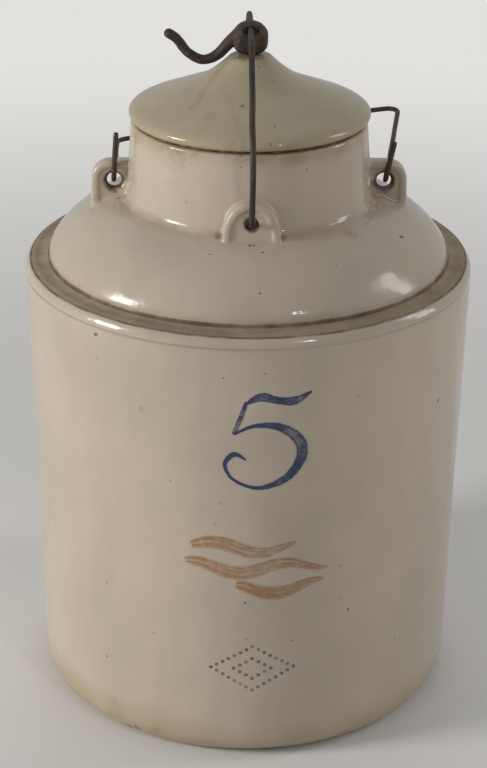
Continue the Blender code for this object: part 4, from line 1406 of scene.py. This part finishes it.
class CROCK_OT_ball_lever(bpy.types.Operator):
    """Cast the ball with its lever."""

    bl_idname = "crock.ball_lever"
    bl_label = "Ball and Lever"

    # How far the casting seam stands out, in shares of the ball, and half its width
    seam_share = 0.02
    seam_spread = 0.0006

    # Half the length, depth and height of the hollow round each end of the eye
    hollow = (0.0056, 0.0028, 0.0030)

    # The lever's line from the ball to its tip, in shares of its length and of its sag
    line = (
        (0.13, 0.18), (0.25, 0.446), (0.415, 0.859), (0.591, 1.0), (0.769, 0.779), (0.897, 0.385),
        (1.0, 0.197),
    )
    rows = 44
    facets = 24

    # How much of the lever its thick root and its thick tip take up
    root_share = 0.45
    tip_share = 0.2

    skin_rounds = 4
    roughness = 0.00018

    def execute(self, context):
        sizes = context.scene.crock_iron
        shape = self.ball(sizes)
        shape = cut(shape, [self.eye(sizes), self.eye_hollow(sizes, -1), self.eye_hollow(sizes, 1)])
        path, radii = self.lever(sizes)
        swept(shape, path, radii, self.facets, sizes.lever_width_share)
        shape = fused(shape, sizes.cast_voxel, self.skin_rounds)
        bmesh.ops.translate(shape, vec=(0, 0, sizes.lock_bar_height), verts=shape.verts)
        stray(shape, self.roughness, size=0.0035, seed=5.0)
        material = iron_finish("cast_iron", context.scene.crock_colours, browner=0.16, pitting=0.0006)
        body_piece(shape, "cast_ball_lever", material, "ball_lever", "cast_iron", "ball_lever")
        return {"FINISHED"}

    def ball(self, sizes):
        """A ball drawn out along Y to nearly a barrel, with a lower top and a casting seam."""
        shape = bmesh.new()
        bmesh.ops.create_uvsphere(shape, u_segments=64, v_segments=40, radius=1.0)
        bmesh.ops.rotate(shape, verts=shape.verts, matrix=Matrix.Rotation(math.pi / 2, 3, "X"))
        fullness, squareness = sizes.ball_fullness, sizes.ball_squareness
        for point in shape.verts:
            x, y, z = point.co
            across = math.hypot(x, z)
            on_axis = across <= 0.01
            swelling = 0.0 if on_axis else (1 - min(1.0, abs(y)) ** fullness) ** (1 / fullness) / across
            if z < 0 and not on_axis:
                square = (abs(x) / across) ** squareness + (-z / across) ** squareness
                swelling = swelling / square ** (1 / squareness)
            top = sizes.ball_top_share if z > 0 else 1.0
            height = sizes.ball_radius * z * swelling * top - sizes.ball_drop
            seam = 1 + self.seam_share * bell(height + sizes.ball_seam_drop, self.seam_spread)
            out = sizes.ball_radius * x * swelling * seam
            point.co = (out, sizes.ball_half_length * y * seam, height)
        bmesh.ops.recalc_face_normals(shape, faces=shape.faces)
        return shape

    def eye(self, sizes):
        """The hole that the lock bail's wire goes through."""
        cutter = bmesh.new()
        radius = sizes.wire_radius + wire_play
        size = {"radius1": radius, "radius2": radius, "depth": 4 * sizes.ball_half_length}
        turn = Matrix.Rotation(math.pi / 2, 4, "X")
        bmesh.ops.create_cone(cutter, cap_ends=True, segments=32, matrix=turn, **size)
        return cutter

    def eye_hollow(self, sizes, side):
        """The hollow round one end of the eye."""
        offset = sizes.ball_drop / (sizes.ball_radius * sizes.ball_top_share)
        end = sizes.ball_half_length * (1 - offset**sizes.ball_fullness) ** (1 / sizes.ball_fullness)
        cutter = bmesh.new()
        bmesh.ops.create_uvsphere(cutter, u_segments=32, v_segments=20, radius=1.0)
        bmesh.ops.scale(cutter, vec=self.hollow, verts=cutter.verts)
        bmesh.ops.translate(cutter, vec=(0, side * end, 0), verts=cutter.verts)
        return cutter

    def lever(self, sizes):
        """The lever's path, and its half thickness at each point: thick at the ball, round at the tip."""
        places = [
            Vector((-sizes.lever_length * out, 0.0, -sizes.lever_sag * down)) for out, down in self.line
        ]
        path = smooth_path(places, self.rows)
        shank, tip = sizes.lever_shank_radius, sizes.lever_tip_radius
        radii = []
        for index in range(self.rows):
            along = index / (self.rows - 1)
            at_root = max(0.0, 1 - along / self.root_share)
            at_tip = max(0.0, 1 - (1 - along) / self.tip_share)
            radii.append(shank + (sizes.lever_root_radius - shank) * at_root + (tip - shank) * at_tip)
        outward = (path[-1] - path[-2]).normalized()
        end = path[-1]
        for angle in (25, 50, 75, 88):
            path.append(end + outward * tip * math.sin(math.radians(angle)))
            radii.append(tip * math.cos(math.radians(angle)))
        return path, radii


# The old carrying bail is bent. It rises from left to right, and at each side it has its own
# spread of the corner, lean of the hook's tip and height of that tip.
carry_pitch = math.radians(5.8)
carry_bends = {-1: (0.0028, -0.0020, 0.3935), 1: (0.0200, 0.0055, 0.3880)}


def carry_end(sizes, side):
    """The corners of one end of the carrying bail, from the tip of its hook to the cross wire."""
    pitch = carry_pitch * side
    spread, lean, tip_height = carry_bends[side]
    hook_x = side * sizes.carry_hole_reach
    hook_z = sizes.carry_hole_height - sizes.carry_hook_radius * math.tan(pitch)
    corner = (
        side * (sizes.carry_hole_reach + spread),
        sizes.carry_length * math.cos(pitch),
        sizes.carry_hole_height + sizes.carry_length * math.sin(pitch),
    )
    tip = (hook_x + side * lean, -sizes.carry_hook_radius, tip_height)
    return [Vector(place) for place in (tip, (hook_x, -sizes.carry_hook_radius, hook_z), corner)]


class CROCK_OT_carry_bail(bpy.types.Operator):
    """Bend the carrying bail and hook it into the side ears."""

    bl_idname = "crock.carry_bail"
    bl_label = "Carrying Bail"

    def execute(self, context):
        sizes = context.scene.crock_iron
        left, right = carry_end(sizes, -1), carry_end(sizes, 1)
        bends = [sizes.carry_hook_radius, sizes.carry_corner_bend]
        path = rounded_path([*left, *reversed(right)], [*bends, *reversed(bends)])
        middle = (left[2] + right[2]) / 2
        half_grip = (right[2] - left[2]).normalized() * sizes.grip_length / 2
        held = [*left[1:], *right[1:], middle, middle - half_grip, middle + half_grip]
        shape = wire_shape(sizes, sizes.wire_radius, path, held)
        material = bpy.data.materials["rusty_wire"]
        body_piece(shape, "carry_wire", material, "carry_bail", "rusty_wire", "carry_bail")
        return {"FINISHED"}


class CROCK_OT_grip(bpy.types.Operator):
    """Turn the wooden grip on the carrying bail."""

    bl_idname = "crock.grip"
    bl_label = "Grip"

    end_rounding = 0.0025
    fullness = 0.45
    wobble = 0.00012
    round_steps = 64
    rows = 40

    # How far out along the half length the swelling goes before the rounded end
    end_share = 0.93

    # Two scratched grooves near each end, in shares of the half length
    groove_places = (0.72, 0.66)
    groove_depth = groove_spread = 0.0007

    def execute(self, context):
        sizes = context.scene.crock_iron
        left, right = carry_end(sizes, -1)[2], carry_end(sizes, 1)[2]
        turn = Vector((0, 0, 1)).rotation_difference(right - left)
        shape = spun(self.profile(sizes), self.round_steps, closed=True)
        stray(shape, self.wobble, size=0.012, seed=2.0)
        place = Matrix.LocRotScale((left + right) / 2, turn, None)
        bmesh.ops.transform(shape, matrix=place, verts=shape.verts)
        material = wood_finish(context.scene.crock_colours, turn.inverted().to_euler())
        body_piece(shape, "turned_grip", material, "grip", "turned_wood", "grip")
        return {"FINISHED"}

    def profile(self, sizes):
        """Points (radius, place along it) round one side of the grip, whose two halves are alike."""
        half, greatest, least = sizes.grip_length / 2, sizes.grip_radius, sizes.grip_end_radius
        bore = sizes.wire_radius + wire_play
        rounding = self.end_rounding
        upper = arc((least - rounding, half - rounding), rounding, 90, 20, 6)
        for row in range(1, self.rows):
            out = self.end_share * (1 - row / self.rows)
            swelling = math.cos(out * math.pi / 2) ** self.fullness
            grooves = (bell((out - at) * half, self.groove_spread) for at in self.groove_places)
            groove = sum(self.groove_depth * depth for depth in grooves)
            upper.append((least + (greatest - least) * swelling - groove, out * half))
        lower = [(radius, -height) for radius, height in reversed(upper)]
        return [(bore, half), *upper, (greatest, 0.0), *lower, (bore, -half)]


class CROCK_PT_looks(bpy.types.Panel):
    """Lists the crock's pieces, sizes and colours."""

    bl_idname = "CROCK_PT_looks"
    bl_label = "Stoneware Crock"
    bl_space_type = "VIEW_3D"
    bl_region_type = "UI"
    bl_category = "Crock"

    def draw(self, context):
        layout = self.layout
        for step in steps:
            layout.operator(step.bl_idname)
        for name in groups:
            group = getattr(context.scene, name)
            box = layout.box()
            for size in group.__annotations__:
                box.prop(group, size)


groups = {
    "crock_sizes": StonewareSizes,
    "crock_iron": IronSizes,
    "crock_marks": MarkSizes,
    "crock_colours": CrockColours,
}
steps = (
    CROCK_OT_stage,
    CROCK_OT_jar,
    CROCK_OT_ears,
    CROCK_OT_numeral,
    CROCK_OT_brushed_waves,
    CROCK_OT_dotted_lozenge,
    CROCK_OT_lid,
    CROCK_OT_sealing_ring,
    CROCK_OT_lock_bail,
    CROCK_OT_ball_lever,
    CROCK_OT_carry_bail,
    CROCK_OT_grip,
)


def register():
    for made in (*groups.values(), *steps, CROCK_PT_looks):
        bpy.utils.register_class(made)
    for name, group in groups.items():
        setattr(bpy.types.Scene, name, PointerProperty(type=group))


def unregister():
    for name in groups:
        delattr(bpy.types.Scene, name)
    for made in reversed((*groups.values(), *steps, CROCK_PT_looks)):
        bpy.utils.unregister_class(made)


def main():
    register()
    bpy.ops.crock.stage()
    bpy.ops.crock.jar()
    bpy.ops.crock.ears()
    bpy.ops.crock.numeral()
    bpy.ops.crock.brushed_waves()
    bpy.ops.crock.dotted_lozenge()
    bpy.ops.crock.lid()
    bpy.ops.crock.sealing_ring()
    bpy.ops.crock.lock_bail()
    bpy.ops.crock.ball_lever()
    bpy.ops.crock.carry_bail()
    bpy.ops.crock.grip()


if __name__ == "__main__":
    main()
